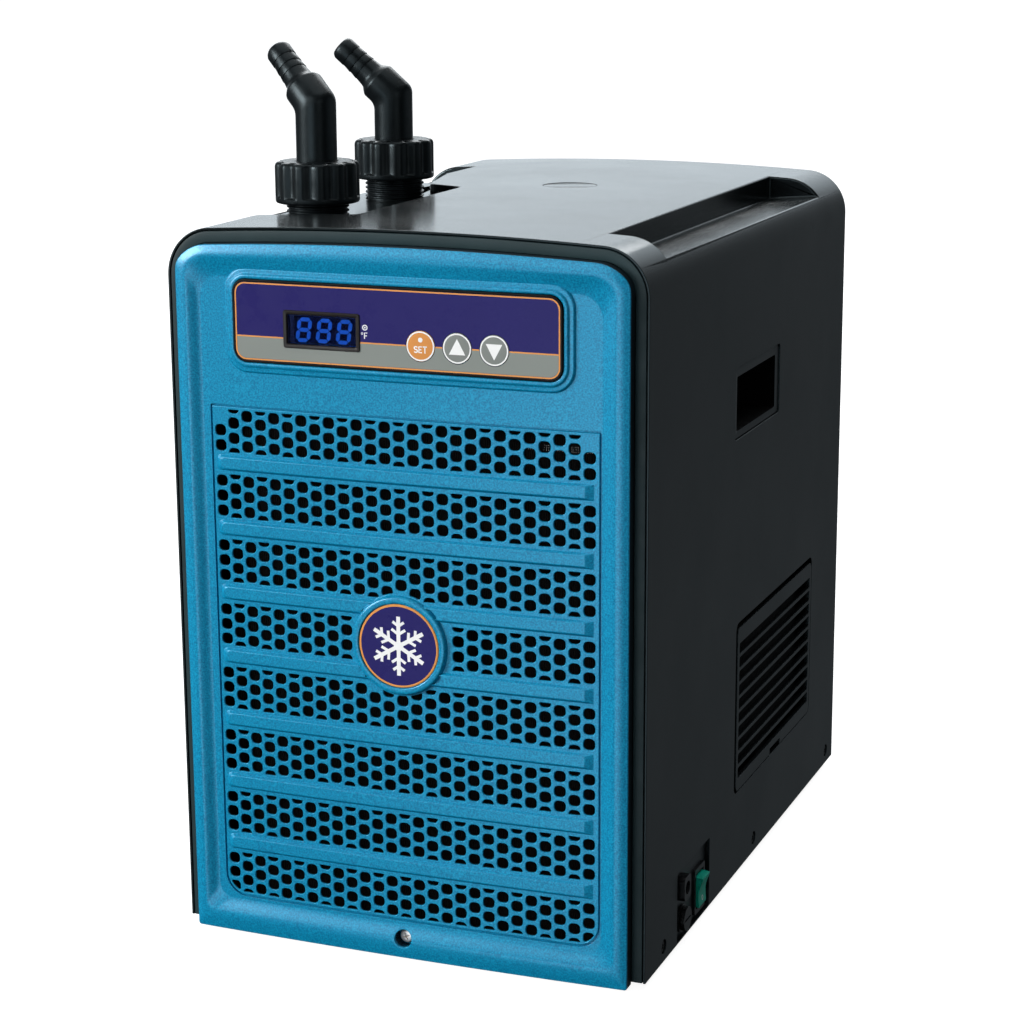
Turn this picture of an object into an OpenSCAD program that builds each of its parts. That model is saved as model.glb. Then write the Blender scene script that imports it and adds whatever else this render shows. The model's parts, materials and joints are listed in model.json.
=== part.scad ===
// Compact water chiller: plastic cover over a sheet tray, perforated front panel,
// two swivelling hose barbs on top, refrigeration circuit inside.
// X to the right, Y to the back, Z up. Z = 0 is the underside of the rubber feet.
// X = 0, Y = 0 is the middle of the whole depth and width.

/* [Casing] */
// Width of the casing
body_w = 260; // [258:1:262]
// Depth of the casing, without the front panel
body_d = 380; // [378:1:386]
// Height of the casing at the middle of its top
body_h = 378.4; // [378:0.2:380]
// Wall thickness of the plastic cover
wall = 2.4; // [2.2:0.1:2.6]
// Radius of the two long top edges
edge_r = 25; // [24:0.5:27]
// Radius of the crowned top, seen from the front
crown_r = 1859; // [1500:1:2600]
// Height of the rubber feet
foot_h = 4; // [3:0.5:6]

/* [Front panel] */
// How far the front panel stands out from the casing
front_out = 10; // [9.5:0.5:11]
// Step between the casing outline and the front panel outline
panel_inset = 7.6; // [7:0.1:8]
// Thickness of the front panel skin
skin = 2.6; // [2.2:0.1:2.8]
// Radius of the panel's bow, seen from above
bow_r = 3204; // [2600:1:4500]
// Depth of the panel's field behind its raised rim
field_drop = 3; // [2.6:0.1:3.2]
// Height of the bars over the panel's field
relief = 1.6; // [1.2:0.1:1.8]

/* [Perforation] */
// Columns of holes
hole_cols = 27; // [25:2:27]
// Distance between two columns
hole_px = 7.72; // [7.5:0.01:7.8]
// Distance between two holes in a column
hole_pz = 7.95; // [7.6:0.01:8]
// Width of a hole
hole_w = 5.6; // [4.6:0.1:5.8]
// Height of a hole
hole_h = 5.6; // [4.8:0.1:5.8]
// Sideways offset of the perforated field
hole_x = 1; // [-1:0.5:1]
// Bands of holes
bands = 8; // [6:1:8]
// Distance between two bands
band_p = 34.5; // [34:0.1:35]

/* [Controls] */
// Width of the label plate
label_w = 174.2; // [170:0.2:176]
// Height of the label plate
label_h = 38.9; // [38:0.1:39.5]
// Radius of the keys
key_r = 7.6; // [7:0.1:7.8]
// Distance between two keys
key_p = 19.5; // [18.5:0.1:20]
// Travel of a key
key_travel = 0.4; // [0.3:0.05:0.5]

/* [Hose fittings] */
// Position of the fittings across the casing
fit_x = -92; // [-94:0.5:-91]
// Position of the front fitting
fit_y1 = -86; // [-88:0.5:-84]
// Position of the rear fitting
fit_y2 = 15.5; // [14:0.5:17]
// Radius of the union nut
nut_r = 22.75; // [22:0.25:23.5]
// Height of the union nut
nut_h = 22.3; // [21:0.1:23]
// Radius of the threaded stub
stub_r = 16.9; // [16.5:0.1:17]
// Radius of the elbow tube
tube_r = 11; // [10.5:0.1:11.2]
// Radius of the hose barb at its smooth tip
barb_r = 7.1; // [6.9:0.1:7.3]
// Angle of the barb from the vertical
barb_tilt = 48; // [45:1:52]

/* [Vents and grips] */
// Slots in a side vent
vent_slots = 10; // [8:1:10]
// Distance between two slots
vent_pitch = 8.1; // [7.8:0.1:8.2]
// Height of a slot
vent_slot = 6; // [5:0.1:6.2]
// Depth of the hand grips
grip_depth = 20; // [16:1:21]

/* [Inside] */
// Radius of the compressor shell
comp_r = 52; // [48:1:54]
// Radius of the heat exchanger barrel
tank_r = 46; // [43:1:46]
// Radius of the fan
fan_r = 78; // [70:1:79]
// Blades on the fan
blades = 5; // [4:1:7]

/* [Hidden] */

zb = foot_h;                       // bottom edge of the casing
ztop = zb + body_h;                // top of the casing at its middle
depth = body_d + front_out;
yf = -depth / 2;                   // foremost point, on the front panel
yc = yf + front_out;               // front edge of the casing
yb = depth / 2;                    // back edge of the casing
hx = body_w / 2;
ex = hx - edge_r;                  // centre of an edge round, across
ez = ztop - crown_r + sqrt(pow(crown_r - edge_r, 2) - ex * ex); // and its height
cf = 256;                          // fineness of the large curves
field = yf + field_drop;           // front of the panel's field at X = 0
label_z = zb + 330.4;              // middle of the label
label_y = field - 1.4;             // front of the label plate
key_z = zb + 322.9;
key_x = 33.8;                      // middle key
disp_x = -39.5;
disp_z = zb + 327.5;
emb_z = zb + 168;
seat = field + 0.2;                // floor of the label pocket
back = seat + 2.2;                 // rear of the label pocket's wall
band_top = zb + 272.4 + hole_pz * 1.5; // top of the first band
fz = zb + 370;                     // floor of the fitting pocket
n1z = zb + 378.5;                  // underside of the front nut
n2z = zb + 381.8;                  // underside of the rear nut
side_y = [-154, 13, 178.4];
screw_z = zb + 8;
swx = hx - wall;                   // outer face of the switch plate
sw_y = -89.4;                      // middle of the rocker switch
sw_z = zb + 15.9;
rock_a = 7;                        // half of the rocker's tilt
gl_y = -120.5;                     // middle of the cord gland
gl_z = zb + 28.4;
fu_y = -118;                       // middle of the fuse holder
fu_z = zb + 9.7;
tx = -58;                          // axis of the heat exchanger barrel
tz = zb + 294;
ty0 = -120;
ty1 = 60;
cx = 55;                           // axis of the compressor
cy = 105;
fx = 20;                           // axis of the fan
fzc = zb + 136;
vent_y0 = -25.6;
vent_y1 = 132;
vent_z0 = zb + 48.5;
vent_z1 = zb + 144.2;

// a profile drawn in X and Z, extruded from y0 to y1
module along_y(y0, y1) translate([0, y1, 0]) rotate([90, 0, 0]) linear_extrude(y1 - y0) children();
// a profile drawn in Y and Z, extruded from x0 to x1
module along_x(x0, x1) translate([x0, 0, 0]) rotate([90, 0, 90]) linear_extrude(x1 - x0) children();
module rod_y(r, y0, y1, x, z, f = 64) translate([x, y1, z]) rotate([90, 0, 0]) cylinder(r = r, h = y1 - y0, $fn = f);
module rod_x(r, x0, x1, y, z, f = 64) translate([x0, y, z]) rotate([0, 90, 0]) cylinder(r = r, h = x1 - x0, $fn = f);
module block(x0, x1, y0, y1, z0, z1) translate([x0, y0, z0]) cube([x1 - x0, y1 - y0, z1 - z0]);

// rounded rectangle from exact pieces, centred at x, z
module round_rect(w, h, r, x = 0, z = 0) translate([x, z]) union() {
  square([w - 2 * r, h], center = true);
  square([w, h - 2 * r], center = true);
  for (i = [-1, 1], j = [-1, 1]) translate([i * (w / 2 - r), j * (h / 2 - r)]) circle(r = r, $fn = 48);
}

// outline of the casing, moved inwards by i, down to z0
module outline(i, z0) {
  xt = ex * (crown_r - i) / (crown_r - edge_r);
  union() {
    intersection() {
      translate([0, ztop - crown_r]) circle(r = crown_r - i, $fn = 720);
      translate([-xt, ez]) square([2 * xt, edge_r + 20]);
    }
    translate([-hx + i, z0]) square([body_w - 2 * i, ez - z0]);
    for (s = [-1, 1]) translate([s * ex, ez]) circle(r = edge_r - i, $fn = 128);
  }
}

// right-hand channel in the top edge
module channel_shape(g) polygon([[95 - g, zb + 362.5 - g], [127.5, zb + 364.7 - g], [150, zb + 366.2 - g], [150, zb + 400], [95 - g, zb + 400]]);
// plan of the recess round the two fittings
module pocket_plan(g) polygon([[-51 + g, -125 - g], [-51 + g, 17 + g * 0.6], [-79 + g * 0.7, 35 + g], [-95 + g, 99 + g], [-150, 99 + g], [-150, -125 - g]]);
module top_recesses(g) {
  along_y(-145 - g, 145 + g) channel_shape(g);
  mirror([1, 0, 0]) along_y(97, 145 + g) channel_shape(g);
  translate([0, 0, fz - g]) linear_extrude(60) pocket_plan(g);
}

module vent_window(e) round_rect(vent_y1 - vent_y0 + 4.2 + 2 * e, vent_z1 - vent_z0 + 4 + 2 * e, 5 + e, (vent_y0 + vent_y1) / 2 - 1.5, (vent_z0 + vent_z1) / 2 + 1.4);

module side_openings() {
  along_x(100, 150) vent_window(0);
  along_x(100, 150) round_rect(88, 39.5, 2.5, 6, zb + 272.45);
}

// one-piece cover: two sides and the crowned top, open below, in front and behind
module casing_cover() color([0.07, 0.08, 0.08]) difference() {
  union() {
    difference() {
      along_y(yc, yb) outline(0, zb);
      top_recesses(0);
      difference() {
        along_y(yc - 1, yb + 1) outline(wall, zb - 1);
        top_recesses(wall);
      }
      along_y(yc - 1, yc + 6) outline(1.2, zb - 1);
    }
    for (s = [0, 1]) mirror([s, 0, 0]) {
      for (y = side_y) rod_x(6, hx - wall - 2, hx - wall + 0.5, y, screw_z);
      block(100, hx - 1, yb - 14, yb - 7.1, zb + 322, zb + 338);
    }
  }
  side_openings();
  mirror([1, 0, 0]) side_openings();
  block(hx - 20, hx + 1, -131.7, -74.8, zb - 1, zb + 39.6);
  for (y = [fit_y1, fit_y2]) translate([fit_x, y, fz - 10]) cylinder(r = stub_r + 0.1, h = 20, $fn = 96);
  for (s = [0, 1]) mirror([s, 0, 0]) for (y = side_y) {
    rod_x(3.9, hx - 2.2, hx + 1, y, screw_z);
    rod_x(2, hx - 10, hx, y, screw_z);
  }
  translate([7.5, 38, ztop - 1.2]) cylinder(r = 15.6, h = 5, $fn = 96);
  for (x = [-108, 108]) rod_y(1.95, yb - 12, yb - 6, x, zb + 330);
}

// frame round the front panel, set into the front edge of the cover
module front_bezel() color([0.17, 0.2, 0.2]) difference() {
  along_y(yc + 0.2, yc + 6) outline(1.6, zb);
  along_y(yc - 1, yc + 7) outline(13, zb + 16);
  rod_y(2.05, yc - 1, yc + 7, 0, zb + 8.6);
}

// bowed space in front of the surface that lies d behind the field
module bow(d) translate([0, field + bow_r, -20]) cylinder(r = bow_r - d, h = 460, $fn = 512);

module panel_outline(i) union() {
  outline(panel_inset + i, zb + 20);
  translate([-hx + panel_inset + i, zb - 2.2 + i]) square([body_w - 2 * (panel_inset + i), 40]);
}

module hole_pattern() {
  cx0 = (hole_cols - 1) / 2;
  for (b = [0:bands - 1]) {
    top = band_top - b * band_p;
    zc = top - 1.5 * hole_pz;
    for (c = [0:hole_cols - 1]) {
      x = (c - cx0) * hole_px + hole_x;
      even = c % 2 == 0;
      for (k = even ? [-1, 0, 1] : [-1.5, -0.5, 0.5, 1.5]) {
        z = zc + k * hole_pz;
        z0 = max(z - hole_h / 2, top - 3 * hole_pz + 1.05);
        z1 = min(z + hole_h / 2, top - 1.05);
        corner = b == 0 && (c == 0 || c == hole_cols - 1) && k == 1;
        clear = norm([x, max(0, abs(z - emb_z) - hole_h / 2)]) > 27.5 || abs(z - emb_z) > 30;
        if (!corner && clear) translate([x - hole_w / 2, z0]) square([hole_w, z1 - z0]);
      }
    }
  }
}

// bowed, perforated front panel with its bars, rim and label seat
module front_panel() color([0.05, 0.5, 0.72]) difference() {
  union() {
    difference() {
      intersection() { along_y(yf - 5, yc) panel_outline(0); bow(0); }
      intersection() { along_y(yf - 5, yc + 1) panel_outline(2.4); bow(skin); }
    }
    intersection() {
      along_y(yf - 5, field + 5) difference() { panel_outline(2); panel_outline(9); }
      difference() { bow(-field_drop); bow(1); }
    }
    intersection() {
      along_y(yf - 5, field + 5) for (b = [0:bands - 2]) round_rect(204, 8, 2, hole_x, band_top - 3 * hole_pz - 5.8 - b * band_p);
      difference() { bow(-relief); bow(1); }
    }
    along_y(field - 2.2, field + 1.2) round_rect(label_w + 14, label_h + 14, 12, 0, label_z);
    rod_y(27, field - 2.4, field + 1, 0, emb_z, 96);
    along_y(seat, back) round_rect(label_w + 12, label_h + 12, 11, 0, label_z);
    for (i = [-1, 1], z = [-12, 12]) rod_y(3, back - 0.5, yc + 1, i * 66.5, label_z + z, 32);
    rod_y(7, field + 0.5, yc, 0, zb + 8.6);
  }
  along_y(yf - 5, seat) round_rect(label_w + 3.4, label_h + 3.4, 7, 0, label_z);
  along_y(yf - 5, yc) round_rect(42.2, 19.2, 1.2, disp_x, disp_z);
  for (k = [-1:1]) rod_y(key_r + 0.35, yf - 5, yc, key_x + k * key_p, key_z);
  along_y(back, yc) round_rect(2 * key_p + 2 * key_r + 3.6, 2 * key_r + 4, 4, key_x, key_z);
  rod_y(4.7, yf - 5, field + 4.4, 0, zb + 8.6);
  rod_y(2.05, yf, yc + 1, 0, zb + 8.6);
  rod_y(22.2, yf - 5, field - 0.8, 0, emb_z, 96);
  along_y(yf - 5, yc) hole_pattern();
}

module emblem_disc() color([0.13, 0.12, 0.32]) rod_y(22, field - 1.8, field - 0.8, 0, emb_z, 96);

// printed label plate, with windows for the display and the keys
module control_label() color([0.14, 0.13, 0.36]) difference() {
  along_y(label_y, seat) round_rect(label_w, label_h, 5.5, 0, label_z);
  along_y(label_y - 1, seat + 1) round_rect(42.2, 19.2, 1.2, disp_x, disp_z);
  for (k = [-1:1]) rod_y(key_r + 0.3, label_y - 1, seat + 1, key_x + k * key_p, key_z);
}

module label_gasket() color([0.03, 0.03, 0.03]) difference() {
  along_y(label_y - 0.4, seat) round_rect(label_w + 3.2, label_h + 3.2, 6.9, 0, label_z);
  along_y(label_y - 1, seat + 1) round_rect(label_w + 0.1, label_h + 0.1, 5.5, 0, label_z);
}

module display_bezel() color([0.05, 0.05, 0.05]) difference() {
  along_y(label_y - 0.6, yc + 0.5) round_rect(42, 19, 1.1, disp_x, disp_z);
  along_y(label_y - 1, yc + 1) round_rect(37.6, 14.8, 0.8, disp_x, disp_z);
}
module display_window() color([0.05, 0.08, 0.4, 0.6]) along_y(label_y + 0.3, label_y + 1.3) round_rect(37.4, 14.6, 0.8, disp_x, disp_z);
module display_module() color([0.05, 0.1, 0.5]) along_y(label_y + 1.9, yc + 1) round_rect(37, 14.2, 0.4, disp_x, disp_z);

// a key with a collar behind the panel
module key(k) {
  rod_y(key_r, label_y - 0.2, back + 1.4, key_x + k * key_p, key_z);
  rod_y(key_r + 1.5, back + 0.3, back + 1.4, key_x + k * key_p, key_z);
}
module set_key() color([0.85, 0.5, 0.25]) key(-1);
module up_key() color([0.5, 0.5, 0.5]) key(0);
module down_key() color([0.5, 0.5, 0.5]) key(1);

module control_board() color([0.05, 0.3, 0.15]) {
  block(-70, 70, yc + 1, yc + 2.6, label_z - 17, label_z + 17);
  for (k = [-1:1]) rod_y(1.8, back + 1.6 + key_travel, yc + 1.2, key_x + k * key_p, key_z, 32);
  block(-20, 6, yc + 2.5, yc + 8, label_z - 4, label_z + 12);
}

// head, cross recess and shank, pointing along -X or -Y by the caller
module screw(head_r, head_h, shank_r, shank_l) difference() {
  union() {
    cylinder(r = head_r, h = head_h * 0.6, $fn = 48);
    translate([0, 0, head_h * 0.6]) cylinder(r1 = head_r, r2 = head_r * 0.7, h = head_h * 0.4, $fn = 48);
    translate([0, 0, -shank_l]) cylinder(r = shank_r, h = shank_l, $fn = 32);
  }
  for (a = [0, 90]) rotate(a) translate([0, 0, head_h]) cube([head_r * 1.1, head_r * 0.28, head_h * 1.1], center = true);
}
module front_screw() color([0.8, 0.8, 0.8]) translate([0, field + 4.4, zb + 8.6]) rotate([90, 0, 0]) screw(3.7, 2.6, 2, 14);
module side_screws() color([0.1, 0.1, 0.1]) for (s = [0, 1]) mirror([s, 0, 0]) for (y = side_y)
  translate([hx - 2.2, y, screw_z]) rotate([0, 90, 0]) screw(3.5, 1.6, 1.9, 8);
module rear_screws() color([0.1, 0.1, 0.1]) for (x = [-108, 108], z = [zb + 12, zb + 330])
  translate([x, yb - 4.5, z]) rotate([-90, 0, 0]) screw(3.6, 1.8, 1.9, 6);

// folded sheet tray that everything inside stands on
module base_tray() color([0.12, 0.12, 0.13]) difference() {
  union() {
    block(-hx + wall + 0.3, hx - wall - 0.3, yc + 7, yb - 7.2, zb, zb + 1.6);
    for (s = [0, 1]) mirror([s, 0, 0]) block(hx - wall - 3.6, hx - wall - 2, yc + 7, yb - 7.2, zb, zb + 20);
    block(-hx + wall + 2, hx - wall - 2, yc + 7, yc + 8.6, zb, zb + 14);
    block(-hx + wall + 2, hx - wall - 2, yb - 8.8, yb - 7.2, zb, zb + 24);
  }
  block(hx - 12, hx, -134, -72, zb - 1, zb + 22);
  for (s = [0, 1]) mirror([s, 0, 0]) for (y = side_y) rod_x(1.95, hx - 12, hx, y, screw_z);
  for (x = [-108, 108]) rod_y(1.95, yb - 10, yb - 6, x, zb + 12);
  rod_y(2.05, yc + 6, yc + 10, 0, zb + 8.6);
}

module rubber_feet() color([0.04, 0.04, 0.04]) for (x = [-104, 104], y = [-150, 160]) translate([x, y, 0])
  rotate_extrude($fn = 64) polygon([[0, 0], [8.2, 0], [9, 0.8], [10, zb], [0, zb]]);

module rear_panel() color([0.07, 0.08, 0.08]) difference() {
  along_y(yb - 7, yb - 4.5) outline(wall + 0.2, zb);
  along_y(yb - 8, yb) union() {
    for (i = [0:13]) round_rect(180, 5, 2.4, 0, zb + 130 + i * 12);
    for (i = [0:4], s = [-1, 1]) round_rect(78, 5, 2.4, s * 51, zb + 52 + i * 12);
  }
  for (x = [-108, 108], z = [zb + 12, zb + 330]) rod_y(2, yb - 8, yb, x, z);
}

// snap-in louvred panel with its finger tab
module vent_panel() {
  y0 = vent_y0;
  difference() {
    union() {
      along_x(hx - wall, hx) round_rect(vent_y1 - y0, vent_z1 - vent_z0, 4, (y0 + vent_y1) / 2, (vent_z0 + vent_z1) / 2);
      for (z = [vent_z0 + 0.1, vent_z1 - 2.1]) block(hx - wall - 5, hx - wall + 0.5, y0 + 20, y0 + 32, z, z + 2);
      for (z = [vent_z0 + 0.1, vent_z1 - 2.1]) block(hx - wall - 5, hx - wall + 0.5, vent_y1 - 32, vent_y1 - 20, z, z + 2);
    }
    along_x(hx - wall - 1, hx + 1) {
      for (i = [0:vent_slots - 1]) translate([-22, zb + 56 + 3 - vent_slot / 2 + i * vent_pitch]) square([150.5, vent_slot]);
      translate([44.5, zb + 48.4]) square([22, 3.6]);
      translate([65.5, zb + 50]) square([1, 8]);
    }
  }
}
module right_vent_panel() color([0.08, 0.09, 0.09]) vent_panel();
module left_vent_panel() color([0.08, 0.09, 0.09]) mirror([1, 0, 0]) vent_panel();

// hand grip set into the side: a recessed frame round a deep pocket
module grip_cup() difference() {
  union() {
    along_x(hx - 1.9, hx - 0.9) round_rect(87.6, 39.1, 2.4, 6, zb + 272.45);
    along_x(hx - grip_depth - 2, hx - 1) round_rect(79, 33.5, 3, 5.5, zb + 271.75);
    along_x(hx - wall - 1.5, hx - wall) round_rect(96, 47, 4, 6, zb + 272.45);
  }
  along_x(hx - grip_depth, hx + 1) round_rect(75, 29.5, 1.5, 5.5, zb + 271.75);
}
module right_grip_cup() color([0.06, 0.07, 0.07]) grip_cup();
module left_grip_cup() color([0.06, 0.07, 0.07]) mirror([1, 0, 0]) grip_cup();

module top_plug() color([0.1, 0.1, 0.1]) translate([7.5, 38, ztop - 1.2]) cylinder(r = 15.4, h = 1, $fn = 96);

// recessed plate for the gland, the switch and the fuse
module switch_plate() color([0.1, 0.11, 0.11]) difference() {
  block(swx - 2, swx, -133.5, -73, zb + 0.2, zb + 45);
  along_x(swx - 3, swx + 1) round_rect(14.6, 23, 1, sw_y, sw_z);
  rod_x(5, swx - 3, swx + 1, gl_y, gl_z);
  rod_x(6, swx - 3, swx + 1, fu_y, fu_z);
}
module cord_gland() color([0.03, 0.03, 0.03]) difference() {
  union() {
    along_x(swx, swx + 4.6) round_rect(11, 13.4, 2.6, gl_y, gl_z);
    rod_x(5, swx - 12, swx + 0.5, gl_y, gl_z);
    rod_x(6, swx - 3.8, swx - 2, gl_y, gl_z);
  }
  rod_x(3.75, swx - 13, swx + 6, gl_y, gl_z);
}
module switch_frame() color([0.03, 0.03, 0.03]) difference() {
  union() {
    along_x(swx, swx + 1.6) round_rect(17.5, 26, 1.4, sw_y, sw_z);
    along_x(swx - 15, swx + 0.5) round_rect(14.4, 22.8, 0.9, sw_y, sw_z);
  }
  along_x(swx - 9, swx + 3) round_rect(13.1, 20.6, 0.5, sw_y, sw_z);
  block(swx - 9.5, swx + 2, sw_y - 6.55, sw_y + 6.55, sw_z - 10.3, sw_z + 10.3);
}
// rocker, both faces rising from the middle; it stands with its lower end pressed
module switch_rocker() color([0.0, 0.45, 0.32]) intersection() {
  translate([swx - 1.2, sw_y, sw_z]) rotate([0, rock_a, 0]) rotate([90, 0, 0]) translate([0, 0, -6.3]) linear_extrude(12.6)
    polygon([[-5, -3], [0.6, -8.6], [5.6, -8.6], [4.3, 0], [5.6, 8.6], [0.6, 8.6], [-5, 3]]);
  rod_y(10.1, sw_y - 7, sw_y + 7, swx - 1.2, sw_z, 96);
}
module fuse_holder() color([0.03, 0.03, 0.03]) difference() {
  union() {
    rod_x(7.6, swx, swx + 1.2, fu_y, fu_z);
    rod_x(5.9, swx - 32, swx + 0.5, fu_y, fu_z);
  }
  rod_x(4.4, swx - 30, swx + 2, fu_y, fu_z);
}
// bayonet cap with its driver slot
module fuse_cap() color([0.05, 0.04, 0.04]) difference() {
  union() {
    rod_x(6.6, swx + 1.5, swx + 4, fu_y, fu_z);
    rod_x(4.1, swx - 24, swx + 2, fu_y, fu_z);
  }
  block(swx + 3, swx + 5, fu_y - 5, fu_y + 5, fu_z - 0.6, fu_z + 0.6);
}

// threaded stub through the pocket floor, with its flange below
module bulkhead(y, nz) translate([fit_x, y, 0]) {
  zt = nz + 13.5;
  difference() {
    union() {
      rotate_extrude($fn = 96) polygon(concat([[8, fz - 28], [13.9, fz - 28], [13.9, fz - wall - 5.8], [20.5, fz - wall - 5.8], [20.5, fz - wall - 1.8], [stub_r - 1.1, fz - wall - 1.8], [stub_r - 1.1, fz + 0.4]],
        [for (i = [0:1:(zt - fz) / 2.4 - 1]) for (q = [0:3]) [q == 0 || q == 3 ? stub_r - 1.1 : stub_r, fz + 0.6 + i * 2.4 + [0.1, 0.8, 1.3, 2][q]]],
        [[stub_r - 1.1, zt], [8, zt]]));
    }
    translate([0, 0, fz - 40]) cylinder(r = 9, h = 100, $fn = 64);
  }
}
module front_bulkhead() color([0.05, 0.05, 0.05]) bulkhead(fit_y1, n1z);
module rear_bulkhead() color([0.05, 0.05, 0.05]) bulkhead(fit_y2, n2z);
module ring(ri, ro, z0, z1) translate([0, 0, z0]) difference() {
  cylinder(r = ro, h = z1 - z0, $fn = 96);
  translate([0, 0, -1]) cylinder(r = ri, h = z1 - z0 + 2, $fn = 96);
}
module bulkhead_seals() color([0.02, 0.02, 0.02]) for (y = [fit_y1, fit_y2]) translate([fit_x, y, 0]) ring(stub_r - 1, 20.5, fz - wall - 1.8, fz - wall);
module union_gaskets() color([0.02, 0.02, 0.02]) {
  translate([fit_x, fit_y1, 0]) ring(9, 15.3, n1z + 13.5, n1z + 15.3);
  translate([fit_x, fit_y2, 0]) ring(9, 15.3, n2z + 13.5, n2z + 15.3);
}

// fluted union nut
module union_nut(y, nz) translate([fit_x, y, nz]) difference() {
  rotate_extrude($fn = 96) polygon([[stub_r + 0.35, 0], [nut_r - 1.2, 0], [nut_r, 1.2], [nut_r, nut_h - 2.2], [nut_r - 2.2, nut_h], [tube_r + 0.4, nut_h], [tube_r + 0.4, nut_h - 3.5], [stub_r + 0.35, nut_h - 3.5]]);
  for (a = [0:30:330]) rotate(a + 15) translate([nut_r + 1.6, 0, 3]) cylinder(r = 3.6, h = nut_h, $fn = 32);
}
module front_union_nut() color([0.05, 0.05, 0.06]) union_nut(fit_y1, n1z);
module rear_union_nut() color([0.05, 0.05, 0.06]) union_nut(fit_y2, n2z);

// elbow: flanged vertical tube, ball corner, and a hose barb with a smooth tip
module hose_elbow(y, nz, bend_z, turn) {
  z0 = nz + 15.5;
  translate([fit_x, y, 0]) difference() {
    union() {
      translate([0, 0, z0]) cylinder(r = 15.4, h = 3, $fn = 96);
      translate([0, 0, z0]) cylinder(r = tube_r, h = bend_z - z0, $fn = 96);
      translate([0, 0, bend_z]) sphere(r = tube_r + 0.3, $fn = 96);
      translate([0, 0, bend_z]) rotate([0, barb_tilt, turn]) {
        cylinder(r = tube_r, h = 12, $fn = 96);
        translate([0, 0, 12]) cylinder(r1 = tube_r - 0.1, r2 = barb_r + 0.9, h = 4.6, $fn = 96);
        translate([0, 0, 16]) cylinder(r1 = barb_r + 0.9, r2 = barb_r + 0.3, h = 6.8, $fn = 96);
        translate([0, 0, 22.4]) cylinder(r1 = barb_r + 0.5, r2 = barb_r - 0.15, h = 5.2, $fn = 96);
        translate([0, 0, 27.5]) cylinder(r1 = barb_r + 0.25, r2 = barb_r - 0.3, h = 5.6, $fn = 96);
        translate([0, 0, 33]) cylinder(r = barb_r, h = 6.4, $fn = 96);
        translate([0, 0, 39.3]) cylinder(r1 = barb_r - 0.05, r2 = barb_r - 1.3, h = 2.2, $fn = 96);
        cylinder(r = barb_r - 0.4, h = 39.6, $fn = 96);
      }
    }
    translate([0, 0, z0 - 1]) cylinder(r = 6, h = bend_z - z0 + 1, $fn = 64);
    translate([0, 0, bend_z]) sphere(r = 6.3, $fn = 64);
    translate([0, 0, bend_z]) rotate([0, barb_tilt, turn]) {
      cylinder(r = 6, h = 15.7, $fn = 64);
      translate([0, 0, 15]) cylinder(r = 4.6, h = 40, $fn = 64);
    }
  }
}
module front_hose_elbow() color([0.06, 0.06, 0.07]) hose_elbow(fit_y1, n1z, zb + 430.8, 156.5);
module rear_hose_elbow() color([0.06, 0.06, 0.07]) hose_elbow(fit_y2, n2z, zb + 428.5, 188);

// lying barrel that the water runs through, with its two necks
module exchanger_barrel() color([0.85, 0.86, 0.87]) difference() {
  union() {
    rod_y(tank_r, ty0, ty1, tx, tz, 128);
    rod_y(tank_r + 3, ty0 + 4, ty0 + 12, tx, tz, 128);
    for (y = [fit_y1, fit_y2]) translate([fit_x, y, tz]) cylinder(r = 17.5, h = fz - 16 - tz, $fn = 96);
  }
  rod_y(tank_r - 3, ty0 + 3, ty1 - 3, tx, tz, 128);
  for (y = [fit_y1, fit_y2]) translate([fit_x, y, 0]) {
    translate([0, 0, fz - 28]) cylinder(r = 14, h = 30, $fn = 96);
    translate([0, 0, tz - 10]) cylinder(r = 9, h = 60, $fn = 64);
  }
  rod_y(4, ty0 - 1, ty0 + 5, tx, tz);
  for (z = [-24, 24]) rod_y(3.3, ty1 - 4, ty1 + 1, tx + 14, tz + z);
}
// coil inside the barrel: turns joined by two headers
module exchanger_coil() color([0.6, 0.58, 0.55]) {
  for (i = [0:7]) translate([tx, ty0 + 22 + i * 18, tz]) rotate([90, 0, 0]) rotate_extrude($fn = 64) translate([28, 0]) circle(r = 4, $fn = 32);
  rod_y(3.2, ty0 + 22, ty1 + 14, tx + 14, tz - 24, 32);
  rod_y(3.2, ty0 + 22, ty1 + 14, tx + 14, tz + 24, 32);
}
module barrel_stand() color([0.5, 0.51, 0.52]) difference() {
  for (y = [-50, 34]) {
    block(-98, -18, y, y + 1.6, zb + 1.6, tz - 8);
    block(-98, -18, y, y + 14, zb + 1.6, zb + 3.2);
  }
  rod_y(tank_r + 0.02, -200, 200, tx, tz, 128);
  along_y(-200, 200) round_rect(46, 178, 6, tx, zb + 97);
}
module barrel_clamps() color([0.6, 0.6, 0.61]) for (y = [-50, 36]) intersection() {
  translate([tx, y, tz]) rotate([-90, 0, 0]) ring(tank_r + 0.05, tank_r + 1.2, 0, 8);
  block(tx - 60, tx + 60, y, y + 8, tz + 4, tz + 60);
}
module temperature_probe() color([0.7, 0.7, 0.7]) {
  rod_y(3.9, ty0 - 6, ty0 + 3, tx, tz);
  rod_y(2.5, ty0 + 2, ty0 + 60, tx, tz);
}

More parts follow.
